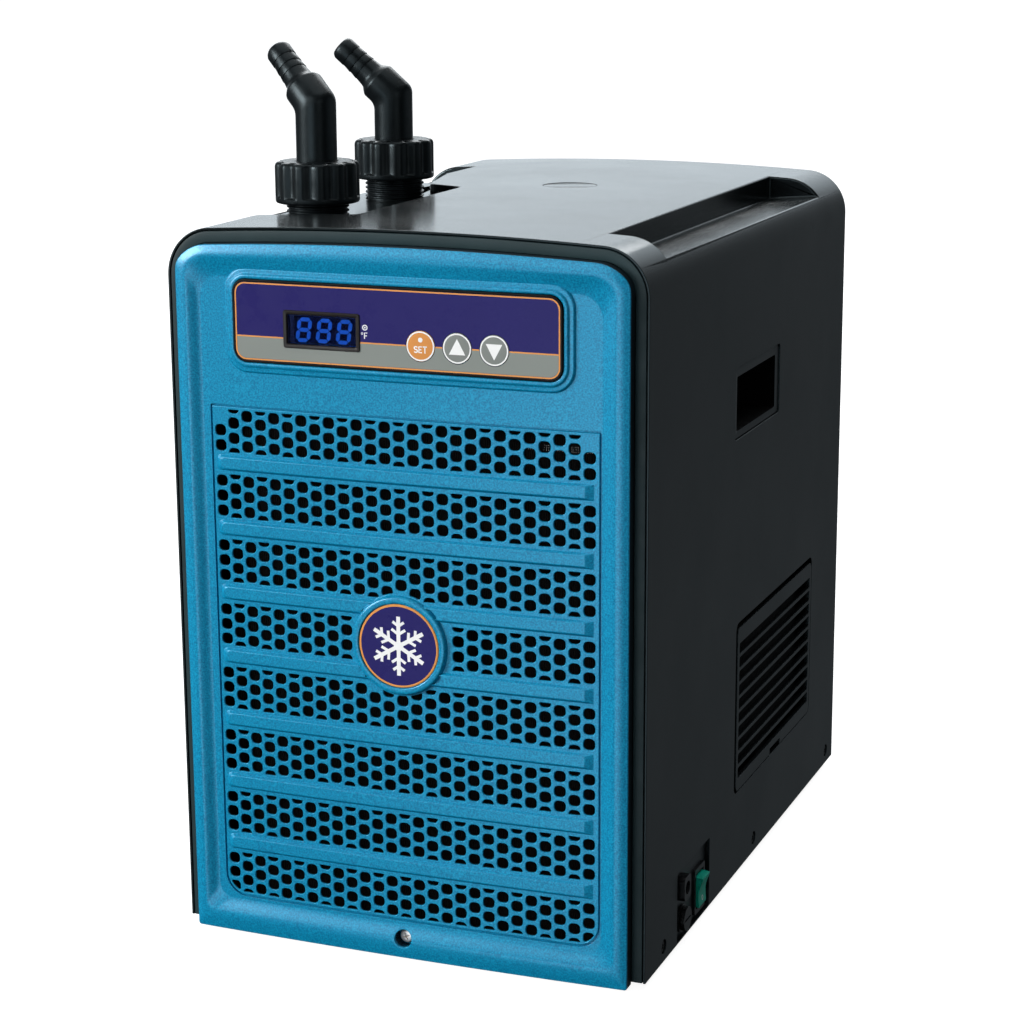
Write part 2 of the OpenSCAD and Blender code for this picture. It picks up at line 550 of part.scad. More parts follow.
// hermetic compressor: welded shell on a foot plate
module compressor() color([0.06, 0.06, 0.07]) {
  h = 142;
  translate([cx, cy, zb + 22]) {
    difference() {
      union() {
        translate([0, 0, 22]) cylinder(r = comp_r, h = h - 50, $fn = 96);
        translate([0, 0, 0]) cylinder(r1 = comp_r - 16, r2 = comp_r, h = 22, $fn = 96);
        translate([0, 0, h - 28]) cylinder(r1 = comp_r, r2 = comp_r - 18, h = 22, $fn = 96);
        translate([0, 0, 80]) cylinder(r = comp_r + 2, h = 4, $fn = 96);
      }
      translate([0, 0, 6]) cylinder(r = comp_r - 24, h = h - 18, $fn = 64);
    }
    translate([-60, -60, -3]) difference() {
      cube([120, 120, 3.2]);
      for (x = [10, 110], y = [10, 110]) translate([x, y, -1]) cylinder(r = 6.05, h = 8, $fn = 48);
    }
  }
}
module compressor_mounts() color([0.03, 0.03, 0.03]) for (x = [-50, 50], y = [-50, 50]) translate([cx + x, cy + y, 0]) rotate_extrude($fn = 64)
  polygon([[0, zb + 1.6], [11, zb + 1.6], [9, zb + 19], [6, zb + 19], [6, zb + 22.2], [8.5, zb + 22.2], [8.5, zb + 25], [0, zb + 25]]);
module terminal_cover() color([0.1, 0.1, 0.1]) difference() {
  block(cx - 16, cx + 16, cy - comp_r - 22, cy - 20, zb + 70, zb + 100);
  translate([cx, cy, zb + 40]) cylinder(r = comp_r + 0.02, h = 62, $fn = 96);
  translate([cx, cy, zb + 40]) cylinder(r = comp_r - 10, h = 90, $fn = 96);
  block(cx - 60, cx + 60, cy - 46, cy, zb + 60, zb + 120);
}

// condenser behind the front panel: one serpentine tube through a block of fins
module condenser_tube() color([0.06, 0.06, 0.06]) {
  y0 = yc + 16;
  for (j = [0:9]) rod_x(3.5, -110, 110, y0 + 11, zb + 34 + j * 24, 32);
  for (j = [0:8]) translate([j % 2 == 1 ? 109 : -109, y0 + 11, zb + 46 + j * 24]) rotate([90, 0, 0]) rotate(j % 2 == 1 ? -90 : 90)
    rotate_extrude(angle = 180, $fn = 64) translate([12, 0]) circle(r = 3.9, $fn = 32);
}
module condenser_fins() color([0.05, 0.05, 0.05]) {
  y0 = yc + 16;
  difference() {
    union() {
      for (i = [0:23]) block(-101 + i * 8.7, -101 + i * 8.7 + 0.7, y0, y0 + 22, zb + 22, zb + 262);
      for (s = [-1, 1]) block(s * 104 - 0.8, s * 104 + 0.8, y0 - 2, y0 + 26, zb + 1.6, zb + 266);
      for (z = [zb + 21, zb + 262]) block(-104, 104, y0, y0 + 22, z, z + 1.2);
    }
    for (j = [0:9]) rod_x(3.5, -112, 112, y0 + 11, zb + 34 + j * 24, 32);
  }
}

// box-shaped duct round the fan, with its guard arms
module fan_shroud() color([0.12, 0.12, 0.12]) {
  y0 = yc + 42;
  difference() {
    union() {
      along_y(y0, y0 + 2) round_rect(210, 240, 4, 0, zb + 142);
      rod_y(fan_r + 5, y0, y0 + 30, fx, fzc, 128);
    }
    rod_y(fan_r + 2.5, y0 - 1, y0 + 31, fx, fzc, 128);
  }
  difference() {
    rod_y(26, y0 + 27, y0 + 30, fx, fzc, 64);
    rod_y(8.3, y0 + 20, y0 + 32, fx, fzc, 64);
  }
  for (a = [45:90:315]) translate([fx, y0 + 27.4, fzc]) rotate([0, a, 0]) translate([24, 0, -5]) cube([fan_r + 4 - 24, 2.2, 10]);
}
module fan_motor() color([0.3, 0.31, 0.32]) difference() {
  union() {
    rod_y(21, yc + 72, yc + 104, fx, fzc, 64);
    rod_y(8, yc + 69.3, yc + 72.5, fx, fzc, 64);
  }
  rod_y(3.06, yc + 60, yc + 92, fx, fzc, 48);
}
module fan_shaft() color([0.75, 0.75, 0.75]) rod_y(3, yc + 50, yc + 91, fx, fzc, 48);
module fan_impeller() color([0.2, 0.2, 0.21]) difference() {
  union() {
    rod_y(20, yc + 46, yc + 64, fx, fzc, 64);
    intersection() {
      union() for (i = [0:blades - 1]) translate([fx, yc + 55, fzc]) rotate([0, i * 360 / blades, 0]) rotate([0, 0, 0]) rotate([24, 0, 0])
        translate([14, -1, -19]) cube([fan_r, 2, 38]);
      rod_y(fan_r, yc + 44, yc + 66, fx, fzc, 96);
    }
  }
  rod_y(3, yc + 49, yc + 66, fx, fzc, 48);
}

// a bent pipe: straight runs with ball corners
module pipe(pts, r) {
  for (i = [0:len(pts) - 2]) {
    d = pts[i + 1] - pts[i];
    l = norm(d);
    translate(pts[i]) rotate([0, acos(d[2] / l), atan2(d[1], d[0])]) cylinder(r = r, h = l, $fn = 32);
    if (i > 0) translate(pts[i]) sphere(r = r + 0.3, $fn = 48);
  }
}
module filter_drier() color([0.75, 0.42, 0.25]) {
  translate([108, -60, zb + 60]) cylinder(r = 9, h = 70, $fn = 48);
  translate([108, -60, zb + 52]) cylinder(r1 = 3.2, r2 = 9, h = 8, $fn = 48);
  translate([108, -60, zb + 130]) cylinder(r1 = 9, r2 = 3.2, h = 8, $fn = 48);
}
module discharge_pipe() color([0.75, 0.42, 0.25])
  pipe([[cx + 20, cy + 10, zb + 158.2], [cx + 20, cy + 10, zb + 238], [117, cy + 10, zb + 238], [117, yc + 27, zb + 238], [117, yc + 27, zb + 250], [110.2, yc + 27, zb + 250]], 3);
module liquid_pipe() color([0.75, 0.42, 0.25])
  pipe([[110.2, yc + 27, zb + 34], [114, yc + 27, zb + 34], [114, yc + 49, zb + 34], [114, yc + 49, zb + 170], [108, -60, zb + 170], [108, -60, zb + 138.2]], 3);
module capillary_tube() color([0.75, 0.42, 0.25])
  pipe([[108, -60, zb + 51.8], [108, -60, zb + 40], [108, 20, zb + 40], [-4, 20, zb + 40], [-4, 20, tz - 62], [-4, 84, tz - 62], [tx + 14, 84, tz - 62], [tx + 14, 84, tz - 24], [tx + 14, ty1 + 14.2, tz - 24]], 1.4);
module suction_pipe() color([0.75, 0.42, 0.25])
  pipe([[tx + 14, ty1 + 14.2, tz + 24], [tx + 14, cy + 4, tz + 24], [cx - 20, cy + 4, tz + 24], [cx - 20, cy + 4, zb + 158.2]], 3.2);

module power_box() color([0.15, 0.16, 0.17]) difference() {
  block(-116, -34, 72, 168, zb + 1.6, zb + 78);
  block(-114, -36, 74, 166, zb + 3.6, zb + 76);
  rod_y(3.4, 71, 75, -60, zb + 16, 32);
  translate([-84, 130, zb + 70]) cylinder(r = 3.1, h = 12, $fn = 32);
}
module control_lead() color([0.1, 0.1, 0.1]) pipe([[0, yc + 8.2, zb + 332], [0, yc + 20, zb + 332], [0, 130, zb + 332], [-84, 130, zb + 332], [-84, 130, zb + 76]], 3);
module mains_lead() color([0.1, 0.1, 0.1]) pipe([[swx - 15.1, sw_y, zb + 16], [90, sw_y, zb + 16], [90, -62, zb + 16], [-60, -62, zb + 16], [-60, 74, zb + 16]], 3.3);

casing_cover();
front_bezel();
front_panel();
emblem_disc();
control_label();
label_gasket();
display_bezel();
display_module();
display_window();
set_key();
up_key();
down_key();
control_board();
front_screw();
base_tray();
rubber_feet();
side_screws();
rear_panel();
rear_screws();
right_vent_panel();
left_vent_panel();
right_grip_cup();
left_grip_cup();
top_plug();
switch_plate();
cord_gland();
switch_frame();
switch_rocker();
fuse_holder();
fuse_cap();
front_bulkhead();
rear_bulkhead();
bulkhead_seals();
union_gaskets();
front_union_nut();
rear_union_nut();
front_hose_elbow();
rear_hose_elbow();
exchanger_barrel();
exchanger_coil();
barrel_stand();
barrel_clamps();
temperature_probe();
compressor();
compressor_mounts();
terminal_cover();
condenser_tube();
condenser_fins();
fan_shroud();
fan_motor();
fan_impeller();
fan_shaft();
filter_drier();
discharge_pipe();
liquid_pipe();
capillary_tube();
suction_pipe();
power_box();
control_lead();
mains_lead();
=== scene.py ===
import bpy, bmesh, json, math
import numpy as np
from mathutils import Matrix, Vector
from mathutils.geometry import delaunay_2d_cdt

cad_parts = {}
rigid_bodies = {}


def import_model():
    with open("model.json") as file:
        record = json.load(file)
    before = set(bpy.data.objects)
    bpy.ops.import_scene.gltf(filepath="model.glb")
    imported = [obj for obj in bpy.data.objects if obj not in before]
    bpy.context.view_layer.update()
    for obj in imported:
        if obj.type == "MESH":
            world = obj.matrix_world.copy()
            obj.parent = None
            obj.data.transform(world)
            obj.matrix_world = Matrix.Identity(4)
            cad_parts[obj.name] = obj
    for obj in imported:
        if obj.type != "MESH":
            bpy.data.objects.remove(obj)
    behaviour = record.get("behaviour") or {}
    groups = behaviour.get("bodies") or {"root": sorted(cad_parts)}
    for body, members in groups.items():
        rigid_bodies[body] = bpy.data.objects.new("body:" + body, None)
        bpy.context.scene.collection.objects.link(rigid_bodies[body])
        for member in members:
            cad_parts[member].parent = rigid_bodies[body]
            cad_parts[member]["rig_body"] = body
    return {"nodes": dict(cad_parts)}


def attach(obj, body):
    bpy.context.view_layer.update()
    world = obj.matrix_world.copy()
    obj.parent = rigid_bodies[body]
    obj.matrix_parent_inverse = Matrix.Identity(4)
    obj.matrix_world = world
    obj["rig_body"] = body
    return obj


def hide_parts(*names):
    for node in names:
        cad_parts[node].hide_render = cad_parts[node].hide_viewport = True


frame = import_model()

for stray in ("Cube", "Light", "Camera"):
    if stray in bpy.data.objects and stray not in frame["nodes"]:
        bpy.data.objects.remove(bpy.data.objects[stray])
bpy.context.view_layer.update()
MM = 0.001

# ------------------------------------------------------------------ the part's numbers, in millimetres
zb, ztop, yf, yc, yb, hx = 4.0, 382.4, -195.0, -185.0, 195.0, 130.0
ex, CR, ER, WALL = 105.0, 1859.0, 25.0, 2.4
ez = ztop - CR + math.sqrt((CR - ER) ** 2 - ex * ex)
field, BOW = -192.0, 3204.0
label_z, label_y = zb + 330.4, -193.4
LW, LH = 174.2, 38.9
key_z, key_x, key_p, key_r = zb + 322.9, 33.8, 19.5, 7.6
disp_x, disp_z = -39.5, zb + 327.5
emb_z = zb + 168.0
band_top = zb + 272.4 + 1.5 * 7.95
fz = zb + 370.0
n1z, n2z = zb + 378.5, zb + 381.8
fit_x, fit_y1, fit_y2 = -92.0, -86.0, 15.5
swx, sw_y, sw_z = 127.6, -89.4, zb + 15.9
gl_y, gl_z, fu_y, fu_z = -120.5, zb + 28.4, -118.0, zb + 9.7
side_y, screw_z = (-154.0, 13.0, 178.4), zb + 8.0


# ------------------------------------------------------------------ camera
cam_d = bpy.data.cameras.new("view")
cam = bpy.data.objects.new("view", cam_d)
bpy.context.scene.collection.objects.link(cam)
right = Vector((0.93065986, 0.36584731, -0.00528801))
up = Vector((-0.08080268, 0.21960256, 0.97223744))
fwd = Vector((-0.35685172, 0.90439508, -0.23393673))
m = Matrix((right, up, -fwd)).transposed().to_4x4()
m.translation = Vector((0.497722, -1.297352, 0.532713))
cam.matrix_world = m
cam_d.sensor_width = 36.0
cam_d.sensor_fit = "HORIZONTAL"
cam_d.lens = 2482.22 / 1024 * 36.0
cam_d.clip_start, cam_d.clip_end = 0.05, 80.0
bpy.context.scene.camera = cam
bpy.context.scene.view_settings.view_transform = "Standard"


# ------------------------------------------------------------------ materials
class N:
    """A small helper round one material's node tree."""
    def __init__(self, name):
        self.m = bpy.data.materials.new(name)
        self.m.use_nodes = True
        self.t = self.m.node_tree
        self.b = self.t.nodes["Principled BSDF"]
        self.co = self.t.nodes.new("ShaderNodeTexCoord").outputs["Object"]

    def node(self, kind, **kw):
        n = self.t.nodes.new(kind)
        for k, v in kw.items():
            setattr(n, k, v)
        return n

    def link(self, a, b):
        self.t.links.new(a, b)

    def noise(self, scale, detail=3.0, stretch=(1, 1, 1), rough=0.5, seed=0.0):
        mp = self.node("ShaderNodeMapping")
        mp.inputs["Scale"].default_value = stretch
        mp.inputs["Location"].default_value = (seed, seed * 0.7, seed * 1.3)
        self.link(self.co, mp.inputs["Vector"])
        n = self.node("ShaderNodeTexNoise")
        n.inputs["Scale"].default_value = scale
        n.inputs["Detail"].default_value = detail
        n.inputs["Roughness"].default_value = rough
        self.link(mp.outputs["Vector"], n.inputs["Vector"])
        return n.outputs["Fac"]

    def ramp(self, fac, stops):
        r = self.node("ShaderNodeValToRGB")
        e = r.color_ramp.elements
        while len(e) < len(stops):
            e.new(0.5)
        for i, (p, c) in enumerate(stops):
            e[i].position = p
            e[i].color = (*c, 1) if len(c) == 3 else c
        self.link(fac, r.inputs["Fac"])
        return r.outputs["Color"]

    def rng(self, fac, lo, hi, a=0.3, b=0.7):
        r = self.node("ShaderNodeMapRange")
        r.inputs["From Min"].default_value, r.inputs["From Max"].default_value = a, b
        r.inputs["To Min"].default_value, r.inputs["To Max"].default_value = lo, hi
        self.link(fac, r.inputs["Value"])
        return r.outputs["Result"]

    def math(self, op, a, b=None):
        n = self.node("ShaderNodeMath", operation=op)
        for i, v in enumerate((a, b)):
            if v is None:
                continue
            if isinstance(v, (int, float)):
                n.inputs[i].default_value = v
            else:
                self.link(v, n.inputs[i])
        return n.outputs[0]

    def bumps(self, layers, bevel=0.0):
        """layers: (height, strength, distance) from the coarsest to the finest."""
        last = None
        if bevel:
            bv = self.node("ShaderNodeBevel", samples=4)
            bv.inputs["Radius"].default_value = bevel
            last = bv.outputs["Normal"]
        for h, s, d in layers:
            b = self.node("ShaderNodeBump")
            b.inputs["Strength"].default_value = s
            b.inputs["Distance"].default_value = d
            self.link(h, b.inputs["Height"])
            if last is not None:
                self.link(last, b.inputs["Normal"])
            last = b.outputs["Normal"]
        if last is not None:
            self.link(last, self.b.inputs["Normal"])

    def set(self, **kw):
        for k, v in kw.items():
            self.b.inputs[k.replace("_", " ")].default_value = v


def shade(c, f):
    return tuple(max(0.0, min(1.0, v * f)) for v in c)


def plastic(name, base, rough, var=0.12, grain=2600, grain_s=0.25, grain_d=0.00004, big=35, spec=0.5, coat=0.0, coat_r=0.2, metal=0.0, rvar=0.06,
            stretch=(1, 1, 1), bevel=0.0, wear=0.0, ior=1.5, sheen=0.0, wave=0.10, tint=None):
    n = N(name)
    a, g = n.noise(big, 4.0), n.noise(grain, 2.0, stretch=stretch, seed=3.1)
    col = n.ramp(a, [(0.3, shade(base, 1 - var)), (0.7, shade(base, 1 + var))])
    if wear:
        mix = n.node("ShaderNodeMix", data_type="RGBA")
        n.link(n.rng(n.noise(240, 6.0, seed=7.7), 0.0, wear, 0.58, 0.75), mix.inputs["Factor"])
        n.link(col, mix.inputs["A"])
        mix.inputs["B"].default_value = (*shade(tuple(0.5 * v + 0.06 for v in base), 1.3), 1)
        col = mix.outputs["Result"]
    n.link(col, n.b.inputs["Base Color"])
    r = n.math("ADD", n.rng(n.noise(big * 3.3, 5.0, seed=1.9), rough - rvar, rough + rvar), n.rng(g, -0.03, 0.03))
    n.link(r, n.b.inputs["Roughness"])
    n.set(Metallic=metal, Specular_IOR_Level=spec, Coat_Weight=coat, Coat_Roughness=coat_r, IOR=ior)
    if sheen:
        n.set(Sheen_Weight=sheen)
    if tint:
        n.b.inputs["Specular Tint"].default_value = (*tint, 1)
    n.bumps(([(a, wave, 0.0002)] if wave else []) + [(g, grain_s, grain_d)], bevel)
    return n.m


def metal(name, base, rough, stretch=(1, 1, 1), grain=900, var=0.1, bevel=0.0, patina=None):
    n = N(name)
    a, g = n.noise(28, 5.0), n.noise(grain, 3.0, stretch=stretch, seed=2.2)
    stops = [(0.28, shade(base, 1 - 2 * var)), (0.5, base), (0.75, shade(base, 1 + var))]
    if patina:
        stops[0] = (0.34, patina)
    n.link(n.ramp(a, stops), n.b.inputs["Base Color"])
    n.link(n.math("ADD", n.rng(a, rough + 0.08, rough - 0.05), n.rng(g, -0.05, 0.05)), n.b.inputs["Roughness"])
    n.set(Metallic=1.0)
    n.bumps([(g, 0.18, 0.00003)], bevel)
    return n.m


M = {}
# casing: satin black moulding with a fine upright texture; its crowned top is polished
def casing_mat(name, bevel=0.0):
    n = N(name)
    a = n.noise(14, 3.0)
    g = n.noise(1500, 2.0, stretch=(1, 1, 0.06), seed=4.0)
    p = n.noise(5200, 1.0, seed=9.0)
    sep = n.node("ShaderNodeSeparateXYZ")
    n.link(n.co, sep.inputs[0])
    gloss = n.rng(sep.outputs["Z"], 0.0, 1.0, 0.3655, 0.3685)
    n.link(n.ramp(a, [(0.25, (0.0040, 0.0052, 0.0058)), (0.75, (0.0062, 0.0076, 0.0082))]), n.b.inputs["Base Color"])
    r0 = n.math("ADD", n.rng(a, 0.31, 0.38), n.rng(p, -0.04, 0.04))
    r1 = n.math("SUBTRACT", r0, n.math("MULTIPLY", gloss, 0.17))
    n.link(r1, n.b.inputs["Roughness"])
    n.set(Specular_IOR_Level=0.42, Coat_Weight=0.0)
    n.b.inputs["Specular Tint"].default_value = (0.72, 0.93, 1.0, 1)
    n.bumps([(a, 0.05, 0.0004), (g, 0.26, 0.00006), (p, 0.18, 0.00003)], bevel)
    return n.m


M["casing_black"] = casing_mat("satin_black_casing")
M["casing_bev"] = casing_mat("satin_black_small_parts", 0.0004)
M["bezel_grey"] = plastic("bezel_grey_green", (0.017, 0.034, 0.038), 0.46, var=0.10, grain=2400, grain_s=0.2, spec=0.2)


def panel_mat():
    n = N("metallic_blue_paint")
    a = n.noise(9, 2.0)
    c = n.noise(2300, 2.0, seed=5.0)
    f = n.noise(1150, 2.0, seed=8.0)
    base = n.ramp(a, [(0.2, (0.0010, 0.222, 0.412)), (0.8, (0.0020, 0.245, 0.442))])
    fl = n.ramp(f, [(0.34, (0.42, 0.68, 0.73)), (0.5, (1.0, 1.0, 1.0)), (0.66, (3.0, 1.36, 1.25))])
    mix = n.node("ShaderNodeMix", data_type="RGBA", blend_type="MULTIPLY")
    mix.inputs["Factor"].default_value = 0.9
    n.link(base, mix.inputs["A"])
    n.link(fl, mix.inputs["B"])
    n.link(mix.outputs["Result"], n.b.inputs["Base Color"])
    n.link(n.rng(c, 0.27, 0.36), n.b.inputs["Roughness"])
    n.set(Metallic=0.1, Specular_IOR_Level=0.35, Coat_Weight=0.12, Coat_Roughness=0.2)
    n.bumps([(c, 0.12, 0.00003), (f, 0.12, 0.00001)])
    return n.m


M["panel_blue"] = panel_mat()
# dark blue-black for the panel's back, and painted shade on the outer side wall and on the hole walls, which show dark
# from shade
M["panel_back_and_shade"] = plastic("panel_back_painted_shade", (0.004, 0.012, 0.018), 0.5, grain=2400, grain_s=0.2, spec=0.3)
M["deep_black"] = plastic("shadowed_black", (0.0012, 0.0013, 0.0014), 0.8, grain=2600, grain_s=0.2, spec=0.06)
M["seal_black"] = plastic("black_gasket", (0.0016, 0.0016, 0.0018), 0.6, spec=0.15, grain=3000, grain_s=0.3)
M["print_navy"] = plastic("navy_print", (0.020, 0.016, 0.118), 0.30, var=0.02, grain=6000, grain_s=0.04, spec=0.15, wave=0.0)
M["print_grey"] = plastic("grey_print", (0.235, 0.255, 0.235), 0.34, var=0.02, grain=6000, grain_s=0.04, spec=0.15, wave=0.0)
M["print_orange"] = plastic("orange_print", (0.74, 0.31, 0.085), 0.34, var=0.03, grain=6000, grain_s=0.05, spec=0.15, wave=0.0)
M["print_white"] = plastic("white_print", (0.88, 0.88, 0.87), 0.36, var=0.02, grain=6000, grain_s=0.05, spec=0.2, wave=0.0)
M["frame_brown"] = plastic("display_frame_brown", (0.016, 0.013, 0.012), 0.34, var=0.06, grain=5000, grain_s=0.06, spec=0.25)
M["display_black"] = plastic("display_frame_black", (0.004, 0.004, 0.006), 0.22, var=0.05, grain=5000, grain_s=0.05, coat=0.5, coat_r=0.08)
M["display_blue"] = plastic("display_ground", (0.0022, 0.0050, 0.022), 0.45, var=0.1, grain=5000, grain_s=0.05, spec=0.12)


def glow(name, base, emit, strength, scale):
    n = N(name)
    a = n.noise(scale, 2.0)
    n.link(n.ramp(a, [(0.3, shade(base, 0.85)), (0.7, base)]), n.b.inputs["Base Color"])
    n.link(n.ramp(a, [(0.3, shade(emit, 0.8)), (0.7, emit)]), n.b.inputs["Emission Color"])
    n.set(Emission_Strength=strength, Roughness=0.35)
    return n.m


M["digit"] = glow("lit_segment", (0.01, 0.08, 0.3), (0.030, 0.270, 0.680), 0.78, 900)
M["digit_off"] = plastic("dark_segment", (0.004, 0.012, 0.075), 0.3, var=0.1, grain=5000, grain_s=0.05)


def lens_mat():
    n = N("tinted_window")
    a = n.noise(60, 2.0)
    n.link(n.ramp(a, [(0.3, (0.21, 0.28, 0.60)), (0.7, (0.25, 0.32, 0.64))]), n.b.inputs["Base Color"])
    n.link(n.rng(a, 0.04, 0.09), n.b.inputs["Roughness"])
    n.set(Transmission_Weight=1.0, IOR=1.12, Specular_IOR_Level=0.4)
    return n.m


M["display_lens"] = lens_mat()
M["key_orange"] = plastic("key_orange", (0.66, 0.27, 0.070), 0.36, var=0.03, grain=5000, grain_s=0.06, spec=0.2, wave=0.0)
M["key_grey"] = plastic("key_grey", (0.215, 0.230, 0.215), 0.36, var=0.03, grain=5000, grain_s=0.06, spec=0.2, wave=0.0)
M["fitting_black"] = plastic("glass_filled_black", (0.0032, 0.0043, 0.0050), 0.36, var=0.2, grain=1700, grain_s=0.35, grain_d=0.00006, big=60, spec=0.24, tint=(0.74, 0.93, 1.0))
# black net strands and their frames: painted shade behind the grille and the side vents
M["filter_net"] = plastic("black_net_painted_shade", (0.0022, 0.0024, 0.0026), 0.7, grain=3000, grain_s=0.2, spec=0.1)
M["rubber"] = plastic("black_rubber", (0.010, 0.010, 0.011), 0.72, var=0.15, grain=1500, grain_s=0.4, grain_d=0.00008, bevel=0.0004)
M["gland_black"] = plastic("black_nylon", (0.006, 0.007, 0.008), 0.34, var=0.15, grain=3200, grain_s=0.18, bevel=0.0003)
M["black_steel"] = metal("blackened_screw", (0.016, 0.017, 0.018), 0.34, grain=2600, bevel=0.00015)
M["bright_steel"] = plastic("zinc_plated_screw", (0.82, 0.79, 0.76), 0.30, var=0.12, grain=2600, grain_s=0.15, metal=0.45, spec=0.6)


def rocker_mat():
    n = N("green_rocker")
    a = n.noise(90, 3.0)
    n.link(n.ramp(a, [(0.3, (0.002, 0.40, 0.27)), (0.7, (0.004, 0.50, 0.35))]), n.b.inputs["Base Color"])
    n.link(n.rng(a, 0.28, 0.36), n.b.inputs["Roughness"])
    n.set(Specular_IOR_Level=0.16, Coat_Weight=0.05, Coat_Roughness=0.1, Subsurface_Weight=0.2, Subsurface_Scale=0.004)
    n.bumps([(n.noise(3000, 1.0, seed=2.0), 0.04, 0.00002)])
    return n.m


M["rocker_green"] = rocker_mat()
# parts inside
# dark sheet for the tray, stand and clamps: painted shade for what shows through the holes
M["tray_steel"] = metal("sheet_painted_shade_dark", (0.030, 0.032, 0.034), 0.46, grain=420, var=0.16, bevel=0.0003)
# dark condenser fins and tube: painted shade for what shows through the holes
M["fin_aluminium"] = metal("fins_painted_shade_dark", (0.014, 0.015, 0.016), 0.50, stretch=(1, 0.2, 0.05), grain=900)
M["copper"] = metal("copper_pipe", (0.72, 0.33, 0.17), 0.28, grain=1300, patina=(0.36, 0.16, 0.09))
M["titanium"] = metal("titanium_coil", (0.42, 0.40, 0.37), 0.32, grain=1300)
M["shaft_steel"] = metal("ground_steel", (0.62, 0.62, 0.62), 0.18, stretch=(1, 0.05, 1), grain=1700)
M["motor_steel"] = metal("motor_can", (0.30, 0.31, 0.32), 0.36, grain=1200, bevel=0.0004)
M["barrel_white"] = plastic("moulded_barrel", (0.70, 0.71, 0.70), 0.42, var=0.05, grain=1400, grain_s=0.3, bevel=0.0006)
M["compressor_black"] = plastic("compressor_enamel", (0.008, 0.008, 0.009), 0.24, var=0.2, grain=900, grain_s=0.5, grain_d=0.0001, coat=0.4, bevel=0.0008)
M["duct_plastic"] = plastic("duct_plastic", (0.020, 0.020, 0.021), 0.5, grain=1500, grain_s=0.35, bevel=0.0004)
M["fan_plastic"] = plastic("fan_plastic", (0.035, 0.035, 0.037), 0.42, grain=1500, grain_s=0.3, bevel=0.0004)
M["board_green"] = plastic("circuit_board", (0.010, 0.085, 0.035), 0.36, var=0.25, grain=700, grain_s=0.5, coat=0.3, big=300)
M["box_grey"] = plastic("electrics_box", (0.030, 0.032, 0.034), 0.46, grain=1400, grain_s=0.3, bevel=0.0005)
M["lead_black"] = plastic("lead_sheath", (0.010, 0.010, 0.011), 0.48, grain=1800, grain_s=0.3)

# the CAD nodes that keep their own mesh
KEEP = {"control_board": "board_green", "base_tray": "tray_steel", "rubber_feet": "rubber", "rear_panel": "casing_bev", "rear_screws": "black_steel",
        "side_screws": "black_steel", "switch_plate": "casing_bev", "cord_gland": "gland_black", "switch_frame": "gland_black", "fuse_holder": "gland_black", "fuse_cap": "gland_black",
        "front_bulkhead": "fitting_black", "rear_bulkhead": "fitting_black", "bulkhead_seals": "rubber", "union_gaskets": "rubber", "exchanger_barrel": "barrel_white",
        "exchanger_coil": "titanium", "barrel_stand": "tray_steel", "barrel_clamps": "tray_steel", "temperature_probe": "shaft_steel", "compressor": "compressor_black",
        "compressor_mounts": "rubber", "terminal_cover": "box_grey", "condenser_tube": "fin_aluminium", "condenser_fins": "fin_aluminium", "fan_shroud": "duct_plastic",
        "fan_motor": "motor_steel", "fan_impeller": "fan_plastic", "fan_shaft": "shaft_steel", "filter_drier": "copper", "discharge_pipe": "copper", "liquid_pipe": "copper",
        "capillary_tube": "copper", "suction_pipe": "copper", "power_box": "box_grey", "control_lead": "lead_black", "mains_lead": "lead_black"}
for name, slot in KEEP.items():
    ob = frame["nodes"][name]
    if not ob.material_slots:
        ob.data.materials.append(M[slot])
    for s in ob.material_slots:
        s.material = M[slot]


# ------------------------------------------------------------------ mesh helpers (millimetres in, metres out)
def smooth_by_angle(me, deg):
    me.polygons.foreach_set("use_smooth", [True] * len(me.polygons))
    me.set_sharp_from_angle(angle=math.radians(deg))


def make(name, verts, faces, mats, body="chassis", replaces=(), deg=30, face_mats=None, slot=None, clean=True):
    me = bpy.data.meshes.new(name)
    v = np.asarray(verts, float) * MM
    me.from_pydata([tuple(p) for p in v], [], faces)
    mats = mats if isinstance(mats, (list, tuple)) else [mats]
    for k in mats:
        me.materials.append(M[k])
    if face_mats is not None:
        me.polygons.foreach_set("material_index", face_mats)
    if clean:
        bm = bmesh.new()
        bm.from_mesh(me)
        bmesh.ops.remove_doubles(bm, verts=bm.verts, dist=1e-6)
        bmesh.ops.dissolve_degenerate(bm, edges=bm.edges, dist=1e-7)
        bmesh.ops.recalc_face_normals(bm, faces=bm.faces)
        bm.to_mesh(me)
        bm.free()
    me.update()
    smooth_by_angle(me, deg)
    ob = bpy.data.objects.new(name, me)
    bpy.context.scene.collection.objects.link(ob)
    if body:
        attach(ob, body)
        if replaces:
            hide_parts(*replaces)
        k = slot or mats[0]
    return ob


def apply_mods(ob):
    bpy.context.view_layer.update()
    dg = bpy.context.evaluated_depsgraph_get()
    me = bpy.data.meshes.new_from_object(ob.evaluated_get(dg))
    ob.modifiers.clear()
    ob.data = me


def solid(verts, faces):
    """A helper object for booleans."""
    return make("tmp", verts, faces, "casing_black", body=None)


def prism(poly, axis, a, b):
    """poly in the plane across axis, as (x, z) for Y, (y, z) for X and (x, y) for Z."""
    n = len(poly)
    put = {"Y": lambda p, t: (p[0], t, p[1]), "X": lambda p, t: (t, p[0], p[1]), "Z": lambda p, t: (p[0], p[1], t)}[axis]
    v = [put(p, a) for p in poly] + [put(p, b) for p in poly]
    f = [tuple(range(n)), tuple(range(2 * n - 1, n - 1, -1))] + [(i, (i + 1) % n, n + (i + 1) % n, n + i) for i in range(n)]
    return solid(v, f)


def combine(ob, other, op="DIFFERENCE"):
    md = ob.modifiers.new("b", "BOOLEAN")
    md.object, md.operation, md.solver = other, op, "EXACT"
    apply_mods(ob)
    bpy.data.objects.remove(other)


